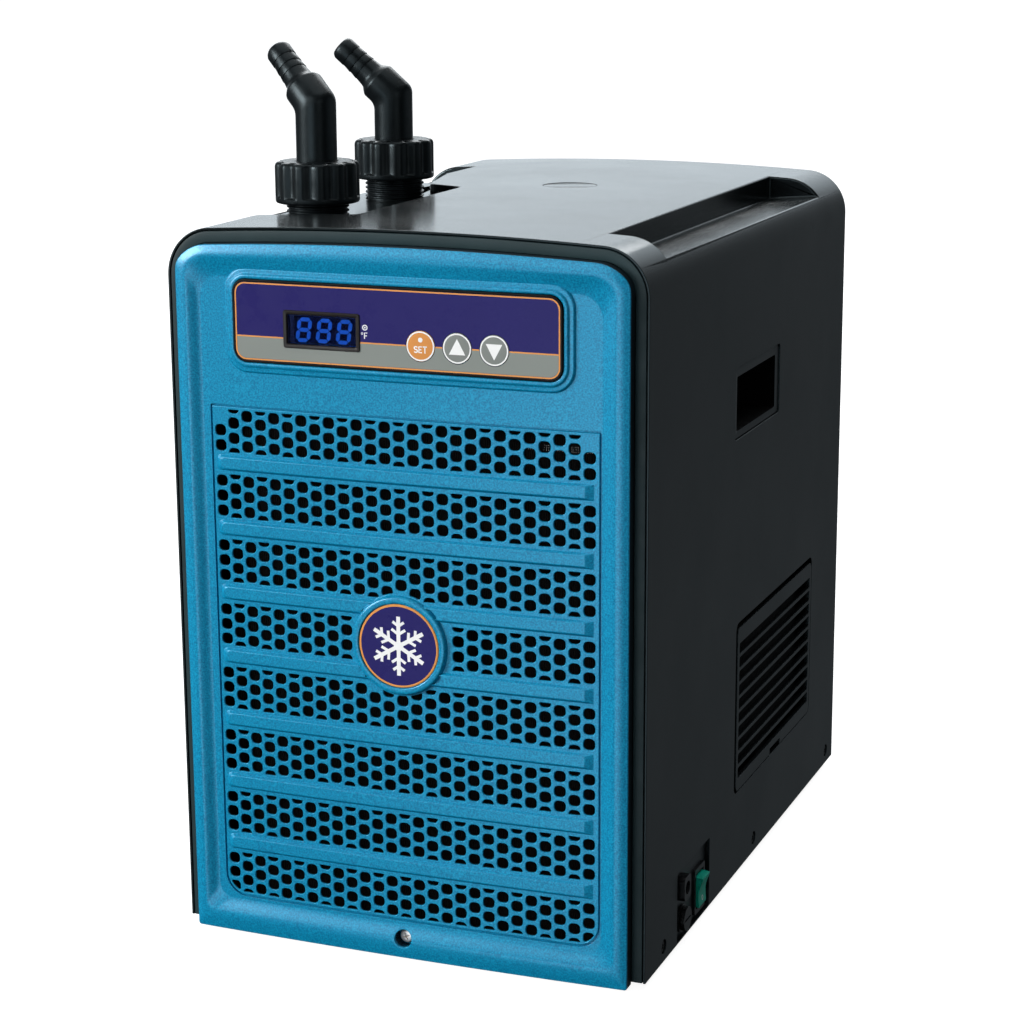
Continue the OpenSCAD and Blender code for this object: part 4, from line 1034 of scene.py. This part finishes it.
# label plate with real windows, cut from one board
board = prism(rrect(VW, VH, 5.7, 0, label_z, 8), "Y", ly, -191.8)
combine(board, prism(rrect(42.2, 19.2, 1.2, disp_x, disp_z, 4), "Y", ly - 2, -190))
for k in (-1, 0, 1):
    combine(board, prism([(key_x + k * key_p + (key_r + 0.3) * math.cos(a), key_z + (key_r + 0.3) * math.sin(a)) for a in np.arange(64) * math.pi / 32], "Y", ly - 2, -190))
bevel_edges(board, lambda m_, a, b: 0.08 if m_.y < ly + 0.02 else 0.0, segs=2)
adopt(board, "label_board", "print_navy", replaces=("control_label",), deg=35)


def flat_print(outer, holes, y, thick=0.03):
    """A thin print: a shape with holes in it, as a helper object."""
    o = prism(outer, "Y", y - thick, y + 0.02)
    for h in holes:
        combine(o, prism(h, "Y", y - 1, y + 1))
    return o


# grey lower part, orange divider and orange pinstripe, as thin inlays
zd = 326.8
lx = VW / 2 - 0.95
bot = label_z - VH / 2 + 0.95
dw = rrect(42.2, 19.2, 1.2, disp_x, disp_z, 4)
kh = [[(key_x + k * key_p + (key_r + 0.3) * math.cos(a), key_z + (key_r + 0.3) * math.sin(a)) for a in np.arange(48) * math.pi / 24] for k in (-1, 0, 1)]
low = [(lx, zd - 0.4)] + [(-lx, zd - 0.4)] + arc(-lx + 4.8, bot + 4.8, 4.8, 180, 270, 8) + arc(lx - 4.8, bot + 4.8, 4.8, 270, 360, 8)
g_ = flat_print(low, [dw] + kh, ly)
adopt(g_, "label_grey_field", "print_grey", deg=30)
d_ = flat_print([(lx, zd + 0.35), (-lx, zd + 0.35), (-lx, zd - 0.38), (lx, zd - 0.38)], [dw] + kh, ly)
adopt(d_, "label_divider", "print_orange", deg=30)
ring_o = flat_print(rrect(VW - 0.25, VH - 0.25, 5.55, 0, label_z, 8), [rrect(VW - 1.7, VH - 1.7, 4.9, 0, label_z, 8)], ly, 0.045)
adopt(ring_o, "label_pinstripe", "print_orange", deg=30)


def ribbon(path, w, y, name, mat, body="chassis", thick=0.03, closed=False):
    """A printed stroke along path, given as (x, z)."""
    p = np.array(path, float)
    n = len(p)
    d = np.zeros_like(p)
    for i in range(n):
        a = p[(i - 1) % n] if closed or i > 0 else p[i]
        b = p[(i + 1) % n] if closed or i < n - 1 else p[i]
        d[i] = (b - a) / (np.linalg.norm(b - a) + 1e-12)
    nn = np.stack([-d[:, 1], d[:, 0]], 1)
    L, R = p + nn * w / 2, p - nn * w / 2
    v = [(x, y - thick, z) for x, z in L] + [(x, y - thick, z) for x, z in R] + [(x, y + 0.01, z) for x, z in L] + [(x, y + 0.01, z) for x, z in R]
    f = []
    for i in range(n if closed else n - 1):
        j = (i + 1) % n
        f += [(i, n + i, n + j, j), (2 * n + i, 2 * n + j, 3 * n + j, 3 * n + i), (i, j, 2 * n + j, 2 * n + i), (n + i, 3 * n + i, 3 * n + j, n + j)]
    if not closed:
        f += [(0, 2 * n, 3 * n, n), (n - 1, 2 * n - 1, 4 * n - 1, 3 * n - 1)]
    return make(name, v, f, mat, body=body, deg=30)


def join(obs, name):
    a = obs[0]
    bm = bmesh.new()
    for o in obs:
        bm.from_mesh(o.data)
    me_ = bpy.data.meshes.new(name)
    bm.to_mesh(me_)
    bm.free()
    for mm_ in a.data.materials:
        me_.materials.append(mm_)
    smooth_by_angle(me_, 30)
    body, slot = a["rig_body"] if "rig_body" in a else "chassis", None
    for o in obs:
        bpy.data.objects.remove(o)
    ob = bpy.data.objects.new(name, me_)
    bpy.context.scene.collection.objects.link(ob)
    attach(ob, body)
    return ob


def cpath(cx, cz, r, n=40):
    return [(cx + r * math.cos(a), cz + r * math.sin(a)) for a in np.arange(n) * 2 * math.pi / n]


# small lamp marks beside the display: a ring with a dot, and a degree sign
marks = [ribbon(cpath(-15.6, 334.5, 1.2, 28), 0.5, ly, "m0", "print_white", closed=True), ribbon(cpath(-15.6, 334.5, 0.22, 12), 0.42, ly, "m1", "print_white", closed=True),
         ribbon(cpath(-17.2, 331.5, 0.45, 16), 0.3, ly, "m2", "print_white", closed=True), ribbon([(-15.9, 328.9), (-15.9, 331.85), (-14.3, 331.85)], 0.5, ly, "m3", "print_white"),
         ribbon([(-15.9, 330.4), (-14.6, 330.4)], 0.5, ly, "m4", "print_white")]
join(marks, "lamp_marks")

# emblem: a plain navy disc with a white six-armed crystal, inside an orange ring
ey = field - 1.8
v, f = lathe([(0.0, 190.8 * -1 + 381.6 * 0), (0.0, 0.0)], 8)
prof = [(0.0, -(field - 0.8)), (21.95, -(field - 0.8)), (21.98, -(ey + 0.25)), (21.8, -(ey + 0.06)), (21.5, -ey), (0.0, -ey)]
v, f = lathe(prof, 96, (0, 0, emb_z), "-Y")
make("emblem_base", v, f, "print_orange", replaces=("emblem_disc",), deg=30, slot="emblem_print")
v, f = lathe([(0.0, -ey), (0.0, -ey)], 8)
nav = prism(cpath(0, emb_z, 20.85, 96), "Y", ey - 0.04, ey + 0.02)
adopt(nav, "emblem_ground", "print_navy", deg=30)
ribbon(cpath(0, emb_z, 21.15, 96), 0.7, ey, "emblem_ring", "print_orange", closed=True, thick=0.07)
arms = []
for k in range(6):
    a = math.radians(90 + 60 * k)
    u = np.array([math.cos(a), math.sin(a)])
    c = np.array([0.0, emb_z])
    arms.append(ribbon([c + u * 1.3, c + u * 15.6], 2.1, ey, "a", "print_white", thick=0.09 + 0.002 * k))
    for r0, l in ((6.2, 4.6), (10.6, 3.8)):
        for s in (-1, 1):
            b = a + s * math.radians(56)
            w = np.array([math.cos(b), math.sin(b)])
            arms.append(ribbon([c + u * r0, c + u * r0 + w * l], 1.5, ey, "a", "print_white", thick=0.075 + 0.003 * (s + 1)))
hub = prism([(2.6 * math.cos(a), emb_z + 2.6 * math.sin(a)) for a in np.arange(12) * math.pi / 6], "Y", ey - 0.115, ey + 0.01)
hub.data.materials.clear()
hub.data.materials.append(M["print_white"])
join(arms + [hub], "emblem_crystal")

# ------------------------------------------------------------------ display
dz = disp_z
def drl(w, h, r):
    return rl(w, h, r, disp_x, dz, 4)


fr = [(drl(42, 19, 1.1), -184.6), (drl(42, 19, 1.1), ly - 0.42), (drl(41.6, 18.6, 0.9), ly - 0.6), (drl(38.6, 15.8, 0.9), ly - 0.6), (drl(38.2, 15.4, 0.8), ly - 0.45), (drl(37.7, 14.9, 0.8), ly + 0.2), (drl(37.7, 14.9, 0.8), -184.6)]
v, f = loft([np.stack([p[:, 0], np.full(len(p), y), p[:, 1]], 1) for p, y in fr + [fr[0]]])
make("display_frame", v, f, "frame_brown", replaces=("display_bezel",), deg=35)
plate_loft([(drl(37.0, 14.2, 0.4), -184.2), (drl(37.0, 14.2, 0.4), ly + 2.05), (drl(36.8, 14.0, 0.4), ly + 1.95)], "display_black", "display_module_block", replaces=("display_module",), deg=30)
gnd = prism(rrect(33.6, 13.4, 0.5, disp_x + 0.9, dz, 4), "Y", ly + 1.89, ly + 2.0)
adopt(gnd, "display_ground", "display_blue", deg=30)
plate_loft([(drl(37.4, 14.6, 0.8), ly + 1.3), (drl(37.4, 14.6, 0.8), ly + 0.45), (drl(37.1, 14.3, 0.7), ly + 0.3)], "display_lens", "display_pane", replaces=("display_window",), deg=30)
segs = []
dw_, dh, sl, tk = 8.0, 12.5, 0.15, 1.95


def seg_poly(cx, a, b):
    """A lit bar between two points, with pointed ends."""
    a, b = np.array(a, float), np.array(b, float)
    d = (b - a) / np.linalg.norm(b - a)
    n_ = np.array([-d[1], d[0]])
    a, b = a + d * 0.22, b - d * 0.22
    h = tk / 2
    q = [a, a + d * h + n_ * h, b - d * h + n_ * h, b, b - d * h - n_ * h, a + d * h - n_ * h]
    return [(cx + p[0] + (p[1]) * sl, dz - 0.25 + p[1]) for p in q]


for k in (-1, 0, 1):
    cx = disp_x + k * 11.1 + 0.6
    w, h = dw_ / 2 - tk / 2, dh / 2 - tk / 2
    for a, b in (((-w, h), (w, h)), ((-w, 0), (w, 0)), ((-w, -h), (w, -h)), ((-w, 0), (-w, h)), ((w, 0), (w, h)), ((-w, -h), (-w, 0)), ((w, -h), (w, 0))):
        segs.append(prism(seg_poly(cx, a, b), "Y", ly + 1.80, ly + 1.92))
bm = bmesh.new()
for o in segs:
    bm.from_mesh(o.data)
dm = bpy.data.meshes.new("display_digits")
bm.to_mesh(dm)
bm.free()
for o in segs:
    bpy.data.objects.remove(o)
dm.materials.append(M["digit"])
dg_ = bpy.data.objects.new("display_digits", dm)
bpy.context.scene.collection.objects.link(dg_)
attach(dg_, "chassis")

# ------------------------------------------------------------------ keys
def key(name, k, mat, icon):
    cx = key_x + k * key_p
    y0 = ly - 0.2
    r = key_r
    prof = [(0.0, -(-188.2)), (r + 1.5, 188.2), (r + 1.5, 189.3), (r, 189.3), (r, -(y0 + 0.16)), (r - 0.03, -(y0 + 0.08)), (r - 0.08, -(y0 + 0.02)), (r - 0.16, -y0), (r * 0.5, -(y0 + 0.0)), (0.0, -(y0 + 0.0))]
    v, f = lathe(prof, 72, (cx, 0, key_z), "-Y")
    make(name + "_cap", v, f, mat, body=name, replaces=(name,), deg=35)
    ribbon(cpath(cx, key_z, r - 0.52, 72), 0.74, y0, name + "_ring", "print_white", body=name, closed=True, thick=0.035)
    for i, (kind, data) in enumerate(icon):
        if kind == "line":
            ribbon([(cx + a, key_z + b) for a, b in data[0]], data[1], y0, "%s_mark_%d" % (name, i), "print_white", body=name, thick=0.035)
        else:
            o = prism([(cx + a, key_z + b) for a, b in data], "Y", y0 - 0.035, y0 + 0.01)
            adopt(o, "%s_mark_%d" % (name, i), "print_white", body=name, deg=30)


def s_curve(x, z, w, h):
    p = []
    for t in np.linspace(0, 1, 17):
        a = math.radians(20 + 250 * min(1, t * 2)) if t <= 0.5 else None
        if t <= 0.5:
            p.append((x + w / 2 * math.cos(a), z + h / 4 + h / 4 * math.sin(a)))
        else:
            a = math.radians(90 - 250 * (t - 0.5) * 2)
            p.append((x + w / 2 * math.cos(a), z - h / 4 + h / 4 * math.sin(a)))
    return p


lt = 0.62
set_icon = [("poly", [(1.2 * math.cos(a), 3.1 + 1.2 * math.sin(a)) for a in np.arange(20) * math.pi / 10]),
            ("line", (s_curve(-2.45, -1.7, 1.75, 2.9), lt)),
            ("line", ([(0.75, -0.25), (-0.8, -0.25), (-0.8, -3.15), (0.75, -3.15)], lt)), ("line", ([(-0.8, -1.7), (0.55, -1.7)], lt)),
            ("line", ([(1.3, -0.25), (3.5, -0.25)], lt)), ("line", ([(2.4, -0.25), (2.4, -3.45)], lt))]
key("set_key", -1, "key_orange", set_icon)
key("up_key", 0, "key_grey", [("poly", [(-4.35, -3.2), (4.35, -3.2), (0.0, 4.75)])])
key("down_key", 1, "key_grey", [("poly", [(-4.35, 3.2), (0.0, -4.75), (4.35, 3.2)])])

# ------------------------------------------------------------------ screws
def cross_screw(name, origin, axis, head_r, head_h, mat, replaces=(), depth=None):
    """Pan head with a cross recess; axis is the outward direction."""
    prof = [(0.0, -6.0), (head_r * 0.5, -6.0), (head_r * 0.5, 0.0), (head_r, 0.0), (head_r, head_h * 0.42), (head_r * 0.965, head_h * 0.66), (head_r * 0.87, head_h * 0.84), (head_r * 0.7, head_h * 0.96), (head_r * 0.45, head_h), (0.0, head_h)]
    v, f = lathe(prof, 48)
    o = solid(v, f)
    w, l, d = head_r * 0.24, head_r * 0.62, head_h * 0.75
    for a in (0, 90):
        q = []
        for s, zz in ((1.0, head_h + 0.5), (0.45, head_h - d)):
            for px, py in ((-l * s, -w / 2 * (0.7 + 0.3 * s)), (l * s, -w / 2 * (0.7 + 0.3 * s)), (l * s, w / 2 * (0.7 + 0.3 * s)), (-l * s, w / 2 * (0.7 + 0.3 * s))):
                c_, s_ = math.cos(math.radians(a + 22)), math.sin(math.radians(a + 22))
                q.append((px * c_ - py * s_, px * s_ + py * c_, zz))
        combine(o, solid(q, [(0, 1, 2, 3), (7, 6, 5, 4), (0, 4, 5, 1), (1, 5, 6, 2), (2, 6, 7, 3), (3, 7, 4, 0)]))
    rot = {"-Y": Matrix.Rotation(math.radians(90), 4, "X"), "X": Matrix.Rotation(math.radians(90), 4, "Y"), "-X": Matrix.Rotation(math.radians(-90), 4, "Y"), "Y": Matrix.Rotation(math.radians(-90), 4, "X")}[axis]
    o.data.transform(Matrix.Translation(Vector(origin) * MM) @ rot)
    return adopt(o, name, mat, replaces=replaces, deg=35)


cross_screw("front_cross_screw", (0, field + 4.4, 12.6), "-Y", 3.7, 2.6, "bright_steel", ("front_screw",))
for s in (1, -1):
    for i, y in enumerate(side_y):
        cross_screw("side_screw_%s_%d" % ("right" if s > 0 else "left", i), (s * (hx - 2.2), y, screw_z), "X" if s > 0 else "-X", 3.5, 1.6, "black_steel")
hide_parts("side_screws")

# ------------------------------------------------------------------ nuts and elbows
def nut(name, y, nz, body, replaces):
    R, seg = 22.75, 288
    th = np.arange(seg) * 2 * np.pi / seg
    d, fr_ = R + 1.55, 3.6
    ph = (np.degrees(th) - 15 + 15) % 30 - 15
    ph = np.radians(ph)
    inner = d * np.cos(ph) - np.sqrt(np.maximum(fr_ ** 2 - (d * np.sin(ph)) ** 2, 0))
    inner = np.where(np.abs(d * np.sin(ph)) < fr_, inner, R)
    flute = np.minimum(R, inner)
    k = np.ones(7) / 7
    flute = np.real(np.convolve(np.concatenate([flute[-3:], flute, flute[:3]]), k, "valid"))
    H = 22.3
    rows_ = []

    def row(rfun, z):
        r = rfun
        rows_.append(np.stack([fit_x + r * np.cos(th), y + r * np.sin(th), np.full(seg, nz + z)], 1))
    one = np.full(seg, 1.0)
    row(one * 17.3, 0.0)
    row(one * (R - 1.3), 0.0)
    row(one * (R - 0.55), 0.25)
    row(one * (R - 0.12), 0.8)
    row(one * R, 1.5)
    row(one * R, 2.6)
    for t in (0.0, 0.25, 0.5, 0.75, 1.0):
        row(R + (flute - R) * math.sin(t * math.pi / 2), 2.9 + 1.6 * (1 - math.cos(t * math.pi / 2)))
    row(flute, H * 0.5)
    row(flute, H - 2.9)
    for t in (0.25, 0.5, 0.75, 1.0):
        a = t * math.pi / 2
        row(np.minimum(flute, R) - 2.1 * (1 - math.cos(a)), H - 2.9 + 2.6 * math.sin(a))
    row(one * 19.2, H)
    row(one * 12.1, H)
    row(one * 11.5, H - 0.4)
    row(one * 11.45, H - 3.4)
    row(one * 17.3, H - 3.5)
    rows_.append(rows_[0].copy())
    v, f = loft(rows_)
    make(name, v, f, "fitting_black", body=body, replaces=replaces, deg=38)


nut("front_nut_fluted", fit_y1, n1z, "front_nut", ("front_union_nut",))
nut("rear_nut_fluted", fit_y2, n2z, "rear_nut", ("rear_union_nut",))


def elbow(name, y, nz, bend_z, turn, body, replaces):
    z0 = nz + 15.5
    tilt = math.radians(48)
    tr = math.radians(turn)
    dirv = np.array([math.sin(tilt) * math.cos(tr), math.sin(tilt) * math.sin(tr), math.cos(tilt)])
    zv = np.array([0, 0, 1.0])
    side = np.cross(zv, dirv)
    side /= np.linalg.norm(side)
    w1, w2 = np.cross(zv, side), np.cross(dirv, side)
    C = np.array([fit_x, y, bend_z])
    seg = 72
    th = np.arange(seg) * 2 * np.pi / seg
    co, si = np.cos(th)[:, None], np.sin(th)[:, None]
    rings = []

    def low(z, r_):
        rings.append(np.array([fit_x, y, z]) + r_ * (co * side + si * w1))

    def arm(s_, r_):
        rings.append(C + dirv * s_ + r_ * (co * side + si * w2))

    def corner(r_, tan_, order):
        o1, o2 = r_ * (co * side + si * w1), r_ * (co * side + si * w2)
        h_ = zv + dirv
        k_ = -((o1 - o2) @ h_) / (h_ @ h_)
        Mt = C + o1 + k_[:, None] * zv
        for t_ in order:
            rings.append((1 - t_) ** 2 * (Mt - zv * tan_) + 2 * t_ * (1 - t_) * Mt + t_ ** 2 * (Mt + dirv * tan_))
    for z, r_ in ((z0, 15.2), (z0 + 0.3, 15.4), (z0 + 2.7, 15.4), (z0 + 3.0, 15.1), (z0 + 3.0, 11.2), (z0 + 3.3, 11.0), (z0 + 12, 11.0)):
        low(z, r_)
    corner(11.0, 3.4, np.linspace(0, 1, 11))
    s_list = [(12.0, 11.0), (12.6, 10.85), (13.6, 10.2), (14.8, 9.3), (15.6, 8.6), (16.6, 8.1), (17.5, 7.9), (20.0, 7.6), (22.2, 7.32), (22.45, 7.3), (22.55, 7.55), (22.75, 7.6), (25.0, 7.3), (27.3, 6.98), (27.45, 6.95), (27.55, 7.3), (27.8, 7.33),
              (30.0, 7.08), (32.8, 6.82), (33.0, 6.8), (33.06, 7.08), (33.2, 7.1), (39.2, 7.1), (40.3, 6.63), (41.0, 6.13), (41.4, 5.75), (41.5, 5.5), (41.5, 4.95), (41.3, 4.6), (30.0, 4.6), (15.8, 4.6), (15.8, 6.0), (8.0, 6.0)]
    for s_, r_ in s_list:
        arm(s_, r_)
    corner(6.0, 1.5, np.linspace(1, 0, 5))
    low(z0, 6.0)
    low(z0, 15.2)
    v, f = loft(rings)
    make(name, v, f, "fitting_black", body=body, replaces=replaces, deg=32)


elbow("front_barb_elbow", fit_y1, n1z, zb + 430.8, 156.5, "front_elbow", ("front_hose_elbow",))
elbow("rear_barb_elbow", fit_y2, n2z, zb + 428.5, 188.0, "rear_elbow", ("rear_hose_elbow",))

# ------------------------------------------------------------------ side vents and hand grips
def vent(side):
    nm = "right" if side > 0 else "left"
    o = prism(rrect(157.6, 95.7, 4, 53.2, zb + 96.35, 6), "X", side * (hx - WALL), side * hx)
    for i in range(10):
        zc_ = zb + 56 + 3 + i * 8.1
        combine(o, prism(rrect(150.5, 6.0, 1.2, -22 + 75.25, zc_, 4), "X", side * (hx - 5), side * (hx + 2)))
    combine(o, prism(rrect(22, 3.6, 0.8, 55.5, zb + 50.2, 3), "X", side * (hx - 5), side * (hx + 2)))
    bevel_edges(o, lambda m_, a, b: 0.35 if abs(m_.x) > hx - 0.05 else 0.0, segs=2)
    adopt(o, nm + "_louvre", "casing_black", body=nm + "_vent", replaces=(nm + "_vent_panel",), deg=35)
    for z in (zb + 48.6, zb + 142.1):
        for y in (vent_clip[0], vent_clip[1]):
            c_ = prism(rrect(12, 2.0, 0.5, y, z + 1.0, 3), "X", side * (hx - WALL - 5), side * (hx - WALL + 0.5))
            adopt(c_, "%s_clip_%d_%d" % (nm, int(z), int(y)), "casing_black", body=nm + "_vent", deg=30)


vent_clip = (0.4, 106.0)


def grip(side):
    nm = "right" if side > 0 else "left"

    def l(w, h, r, x, cy_=6.0, cz_=zb + 272.45):
        p = np.array(rrect(w, h, r, cy_, cz_, 6))
        return np.stack([np.full(len(p), side * x), p[:, 0], p[:, 1]], 1)
    q = [l(87.6, 39.1, 2.4, hx - 1.9), l(87.6, 39.1, 2.4, hx - 1.3), l(87.0, 38.5, 2.2, hx - 0.95), l(86.2, 37.7, 2.0, hx - 0.9),
         l(76.4, 30.7, 2.0, hx - 0.9, 5.5, zb + 271.75), l(75.5, 29.9, 1.6, hx - 1.1, 5.5, zb + 271.75), l(75.0, 29.5, 1.5, hx - 1.6, 5.5, zb + 271.75), l(75.0, 29.5, 1.5, hx - 19.0, 5.5, zb + 271.75),
         l(74.0, 28.5, 1.5, hx - 19.8, 5.5, zb + 271.75), l(70.0, 24.5, 1.5, hx - 20.0, 5.5, zb + 271.75)]
    back_ = [l(72.0, 26.5, 2.0, hx - 22, 5.5, zb + 271.75), l(79.0, 33.5, 3.0, hx - 22, 5.5, zb + 271.75), l(79.0, 33.5, 3.0, hx - 3.9, 5.5, zb + 271.75), l(96, 47, 4, hx - WALL - 1.5), l(96, 47, 4, hx - WALL - 0.02), l(87.6, 39.1, 2.4, hx - WALL - 0.02)]
    v, f = loft(q, True, False, True)
    n0 = len(v)
    v2, f2 = loft(back_, True, True, False)
    v = np.concatenate([v, v2])
    f = f + [tuple(i + n0 for i in t) for t in f2]
    nn = len(q[0])
    e0 = n0 + (len(back_) - 1) * nn
    f += [(i, (i + 1) % nn, e0 + (i + 1) % nn, e0 + i) for i in range(nn)]
    cen_x = [abs(sum(v[i][0] for i in t) / len(t)) for t in f]
    cup = [1 if (k < (len(q) - 1) * nn and cx_ < hx - 1.25 and k >= 4 * nn) or k == (len(q) - 1) * nn else 0 for k, cx_ in enumerate(cen_x)]
    make(nm + "_hand_grip", v, f, ["casing_black", "deep_black"], replaces=(nm + "_grip_cup",), deg=35, face_mats=cup, slot="casing_black", clean=False)


for s in (1, -1):
    vent(s)
    grip(s)

# black nets of crossed strands behind the grille and the side vents, as painted shade: they darken what shows through
# the holes
def shade_net(name, axis, a, b, h0, h1, at, out, body):
    """Strands across a and b (limits along the width) and h0 to h1 (height); at is the outer face, out the outward sign."""
    vs, fs = [], []

    def strand(u0, u1, w0, w1, d0, d1):
        n0 = len(vs)
        for d in (d0, d1):
            for u, w in ((u0, w0), (u1, w0), (u1, w1), (u0, w1)):
                vs.append((u, d, w) if axis == "Y" else (d, u, w))
        fs.extend([(n0, n0 + 1, n0 + 2, n0 + 3), (n0 + 7, n0 + 6, n0 + 5, n0 + 4), (n0, n0 + 4, n0 + 5, n0 + 1), (n0 + 1, n0 + 5, n0 + 6, n0 + 2), (n0 + 2, n0 + 6, n0 + 7, n0 + 3), (n0 + 3, n0 + 7, n0 + 4, n0)])
    d0, d1, d2 = at, at - out * 0.4, at - out * 0.8
    for u in np.arange(a + 0.6, b - 0.6, 1.2):
        strand(u - 0.47, u + 0.47, h0, h1, d0, d1)
    for w in np.arange(h0 + 0.6, h1 - 0.6, 1.2):
        strand(a, b, w - 0.47, w + 0.47, d1, d2)
    make(name, vs, fs, "filter_net", body=body, deg=30, clean=False)


shade_net("grille_dust_net", "Y", -116.0, 116.0, 17.0, 296.0, -179.0, -1, "chassis")
shade_net("right_dust_net", "X", -34.0, 137.0, zb + 44.0, zb + 151.5, hx - 7.7, 1, "chassis")
shade_net("left_dust_net", "X", -34.0, 137.0, zb + 44.0, zb + 151.5, -(hx - 7.7), -1, "chassis")
for s_, nm_ in ((1, "right"), (-1, "left")):
    fr_o = prism(rrect(173, 109.5, 5, 51.5, zb + 97.75, 4), "X", s_ * (hx - WALL - 0.05), s_ * (hx - 7.65))
    combine(fr_o, prism(rrect(167, 103.5, 4, 51.5, zb + 97.75, 4), "X", s_ * 110, s_ * 135))
    adopt(fr_o, nm_ + "_net_frame", "filter_net", deg=35)

# ------------------------------------------------------------------ rocker switch
piv = Vector((swx - 1.2, sw_y, sw_z))
pr = [(-5, -3), (0.6, -8.6), (5.3, -8.6), (5.55, -8.3), (5.45, -7.0)] + [(4.3 + 1.15 * (abs(t) / 7.0) ** 1.5, t) for t in np.linspace(-6, 6, 13)] + [(5.45, 7.0), (5.55, 8.3), (5.3, 8.6), (0.6, 8.6), (-5, 3)]
rk = prism([(x, z) for x, z in pr], "Y", -6.25, 6.25)
rk.data.transform(Matrix.Translation(piv * MM) @ Matrix.Rotation(math.radians(7), 4, "Y"))
bevel_edges(rk, lambda m_, a, b: 0.35, segs=2, deg=24)
adopt(rk, "rocker_paddle", "rocker_green", body="switch_rocker", replaces=("switch_rocker",), deg=40)
ring_l = []
for rad, lift in ((1.25, -0.05), (1.25, 0.04), (0.78, 0.04), (0.78, -0.05)):
    q = []
    for a in np.arange(32) * math.pi / 16:
        t = -4.6 + rad * 1.15 * math.sin(a)
        q.append((4.3 + 1.15 * (abs(t) / 7.0) ** 1.5 + lift, rad * math.cos(a), t))
    ring_l.append(np.array(q))
v, f = loft(ring_l + [ring_l[0]])
mk_ = make("rocker_mark", v, f, "print_white", body="switch_rocker", deg=40)
mk_.data.transform(Matrix.Translation(piv * MM) @ Matrix.Rotation(math.radians(7), 4, "Y"))

# ------------------------------------------------------------------ floor and light
def area(name, loc, target, size, power, color=(1, 1, 1), size_y=None, spread=180):
    ld = bpy.data.lights.new(name, "AREA")
    ld.energy, ld.color = power, color
    ld.shape = "RECTANGLE"
    ld.size, ld.size_y = size, size_y or size
    ld.spread = math.radians(spread)
    lo = bpy.data.objects.new(name, ld)
    bpy.context.scene.collection.objects.link(lo)
    lo.location = loc
    lo.rotation_euler = (Vector(target) - Vector(loc)).to_track_quat("-Z", "Y").to_euler()
    return lo


fm = N("pale_floor")
fn_ = fm.noise(3.0, 4.0)
fm.link(fm.ramp(fn_, [(0.3, (0.42, 0.42, 0.42)), (0.7, (0.46, 0.46, 0.46))]), fm.b.inputs["Base Color"])
fm.link(fm.rng(fn_, 0.75, 0.85), fm.b.inputs["Roughness"])
fm.link(fm.ramp(fn_, [(0.3, (0.985, 0.985, 0.985)), (0.7, (1.0, 1.0, 1.0))]), fm.b.inputs["Emission Color"])
fm.set(Specular_IOR_Level=0.1, Emission_Strength=0.93)
fl = bpy.data.meshes.new("floor")
a = np.linspace(0, 2 * math.pi, 65)[:-1]
fl.from_pydata([(40 * math.cos(t), 40 * math.sin(t), -0.0002) for t in a], [], [tuple(range(64))])
fl.materials.append(fm.m)
floor = bpy.data.objects.new("floor", fl)
bpy.context.scene.collection.objects.link(floor)
floor.visible_glossy = False
floor.visible_diffuse = False

world = bpy.data.worlds.new("studio")
bpy.context.scene.world = world
world.use_nodes = True
wt = world.node_tree
bg = wt.nodes["Background"]
tc = wt.nodes.new("ShaderNodeTexCoord")


def wmath(op, a, b=None, c=None):
    n = wt.nodes.new("ShaderNodeMath")
    n.operation = op
    for i, q in enumerate((a, b, c)):
        if q is None:
            continue
        if isinstance(q, (int, float)):
            n.inputs[i].default_value = q
        else:
            wt.links.new(q, n.inputs[i])
    return n.outputs[0]


def lobe(direction, inner, outer, gain):
    """A soft bright patch round a direction; inner and outer are half-angles in degrees."""
    d = wt.nodes.new("ShaderNodeVectorMath")
    d.operation = "DOT_PRODUCT"
    wt.links.new(tc.outputs["Generated"], d.inputs[0])
    d.inputs[1].default_value = Vector(direction).normalized()
    r = wt.nodes.new("ShaderNodeMapRange")
    r.interpolation_type = "SMOOTHSTEP"
    r.inputs["From Min"].default_value = math.cos(math.radians(outer))
    r.inputs["From Max"].default_value = math.cos(math.radians(inner))
    r.inputs["To Max"].default_value = gain
    wt.links.new(d.outputs["Value"], r.inputs["Value"])
    return r.outputs["Result"]


total = wmath("ADD", lobe((-0.10, -0.975, -0.17), 4, 22, 2.9), lobe((-0.38, 0.90, 0.36), 16, 44, 1.15))
total = wmath("ADD", total, lobe((-0.9, -0.3, 0.3), 20, 60, 0.10))
total = wmath("ADD", total, lobe((0.235, 0.957, -0.17), 5, 17, 0.055))
total = wmath("ADD", total, lobe((0.30, 0.87, -0.40), 5, 16, 0.05))
total = wmath("ADD", total, lobe((0.87, 0.46, -0.12), 15, 38, 0.34))
total = wmath("ADD", total, 0.038)
wt.links.new(total, bg.inputs["Strength"])
bg.inputs["Color"].default_value = (0.84, 0.935, 1.0, 1)

area("key", (-2.9, -2.4, 1.4), (0, 0, 0.22), 1.6, 172)
area("front", (-0.7, -3.3, 1.9), (0, 0, 0.2), 2.0, 22)
area("fill", (2.2, -2.4, 0.9), (0, 0, 0.15), 1.4, 6)
area("top_back", (-0.9, 2.6, 2.2), (0, 0, 0.3), 2.2, 40, size_y=1.4)
area("floor_wash", (0.0, 0.6, 5.5), (0, 0.6, 0), 6.0, 140)
